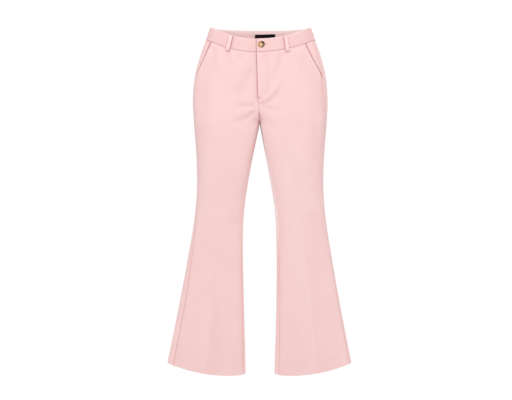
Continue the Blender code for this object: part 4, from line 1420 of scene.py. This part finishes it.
def zipTape(side):
    z = zipper
    rows = np.linspace(z["top"], z["bottom"], z["rows"])[:, None]
    shares = np.linspace(0, 1, z["columns"])
    across = sign[side] * (z["gapToTeeth"] + (z["tapeWidth"] - z["gapToTeeth"]) * shares)
    points = behindFly(rows, across, z["depth"])
    tone = ridge(shares, *z["seam"])
    return wall(f"zipTape{side.capitalize()}", points, tone, zipWeave, z["thickness"], z["aim"],
                (0, -1, 0))


def blockOf(name, size, place, bevel, segments=3):  # a block with rounded edges, from a cube
    pickOnly()
    bpy.ops.mesh.primitive_cube_add(size=1, location=place)
    piece = named(name)
    piece.scale = Vector(size) * mm
    applyPlace(piece)
    editAll(piece, bpy.ops.mesh.bevel, offset=bevel * mm, segments=segments, affect="EDGES")
    return piece


def zipTeeth():  # two rows of small teeth that lie between each other
    z = zipper
    blockOf("tooth", z["tooth"], (0, 0, 0), z["toothBevel"], 1)
    tooth, faces = oneOfMany()
    rows = np.arange(z["top"] - z["teethFrom"], z["bottom"] + z["teethTo"], -z["toothPitch"] / 2)
    across = z["toothOut"] * np.where(np.arange(len(rows)) % 2, 1, -1)
    middles = behindFly(rows, across, z["depth"] + z["thickness"] / 2)
    return meshOfMany("zipTeeth", tooth + middles[:, None] * mm, faces, zipBrass, 30)


def zipSlider():  # a wedge of a slider with a bridge and a flat pull, all behind the tape
    z = zipper
    deep, tall = z["slider"][1:]
    back = z["depth"] + z["thickness"] + z["sliderClear"] + deep / 2
    place = Vector(behindFly(z["top"] - tall, 0, back)) * mm
    bodyBevel, bridgeBevel, pullBevel = z["bevels"]
    body = blockOf("zipSlider", z["slider"], place, bodyBevel)
    for vertex in body.data.vertices:  # narrower at its lower end
        below = (place.z - vertex.co.z) / (tall * mm / 2)
        narrowed = 1 - z["sliderTaper"] * max(below, 0)
        vertex.co.x = place.x + (vertex.co.x - place.x) * narrowed
    (bridgeOut, bridgeUp), (pullOut, pullUp) = z["bridgeAt"], z["pullAt"]
    bridgeAt = place + Vector((0, deep / 2 + bridgeOut, bridgeUp)) * mm
    bridge = blockOf("zipBridge", z["bridge"], bridgeAt, bridgeBevel)
    pullAt = place + Vector((0, deep / 2 + pullOut, pullUp - z["pull"][2] / 2)) * mm
    pull = blockOf("zipPull", z["pull"], pullAt, pullBevel)
    holeAt = pullAt - Vector((0, 0, z["pullHoleDown"] * mm))
    drilled(pull, 20, z["pullHole"], 0.01, location=holeAt, rotation=(math.pi / 2, 0, 0))
    pickOnly(pull, bridge, body)
    bpy.ops.object.join()
    return smooth(body, zipBrass, 30)


zipTapes = [zipTape(side) for side in sign]
teeth = zipTeeth()
slider = zipSlider()
print("zip closed")


def handOver(piece, node=None):
    if node:
        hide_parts(node)
    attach(piece, "root")


for node, piece in clothPieces.items():
    handOver(piece, node)
handOver(blackTabPiece, "label")
handOver(hornButton, "button")
for slot, pieces in threadPieces.items():
    for piece in pieces:
        handOver(piece)
for piece in zipTapes:
    handOver(piece, "zip_tape")
handOver(teeth)
handOver(slider, "zip_slider")

# the cloth pieces made for each part
cutPieces = {node: [piece] for node, piece in clothPieces.items()}
cutPieces.update({"label": [blackTabPiece], "zip_tape": zipTapes})


studio = {
    "cameraAt": (-0.0129, -4.0, -0.517), "lens": 93.75, "sensor": 36, "floorLevel": -1.45,
    "floorSize": 3.6, "aim": (0, 0, -0.45), "world": 0.55, "backdrop": 1.02,
    # place, size and power of each soft light
    "lights": (((-0.2, -2.1, 1.6), 1.6, 38), ((3.6, -1.0, 0.6), 2.4, 20),
               ((-3.6, -0.8, 0.6), 2.4, 17), ((0, -4.0, 3.2), 2.4, 22), ((1.2, 2.6, 1.4), 1.8, 56)),
}


def setWorld(scene):  # the cloth is lit by a softer white than the backdrop that is seen
    world = bpy.data.worlds.new("studio")
    scene.world = world
    world.use_nodes = True
    nodes, links = world.node_tree.nodes, world.node_tree.links
    both = nodes.new("ShaderNodeMixShader")
    links.new(nodes.new("ShaderNodeLightPath").outputs["Is Camera Ray"], both.inputs[0])
    white = (nodes["Background"], nodes.new("ShaderNodeBackground"))
    for i, (shown, strength) in enumerate(zip(white, (studio["world"], studio["backdrop"])), 1):
        shown.inputs["Color"].default_value = (1, 1, 1, 1)
        shown.inputs["Strength"].default_value = strength
        links.new(shown.outputs[0], both.inputs[i])
    links.new(both.outputs[0], nodes["World Output"].inputs[0])


def setStudio():
    scene = bpy.context.scene
    scene.view_settings.view_transform = "Standard"
    setWorld(scene)
    for i, (at, size, power) in enumerate(studio["lights"]):
        lamp = bpy.data.lights.new(f"softLight{i}", "AREA")
        lamp.size = size
        lamp.energy = power
        made = bpy.data.objects.new(lamp.name, lamp)
        scene.collection.objects.link(made)
        made.location = at
        aimed = Vector(studio["aim"]) - Vector(at)
        made.rotation_euler = aimed.to_track_quat("-Z", "Y").to_euler()
    camera = bpy.data.objects.new("camera", bpy.data.cameras.new("camera"))
    scene.collection.objects.link(camera)
    camera.location = studio["cameraAt"]
    camera.rotation_euler = (math.pi / 2, 0, 0)
    camera.data.lens = studio["lens"]
    camera.data.sensor_width = studio["sensor"]
    camera.data.sensor_fit = "HORIZONTAL"
    scene.camera = camera
    pickOnly()
    floorAt = (0, 0, studio["floorLevel"])
    bpy.ops.mesh.primitive_plane_add(size=studio["floorSize"], location=floorAt)
    floor = bpy.context.object
    floor.name = "floor"
    paper = Finish("paleFloor", 0.9)
    grain = paper.noise(paper.here(), 3.0, 3)
    colour = paper.mix(grain, (0.965, 0.965, 0.965), (0.985, 0.985, 0.985))
    paper.feed(paper.shader.inputs["Base Color"], colour)
    floor.data.materials.append(paper.material)


setStudio()
print("studio set")
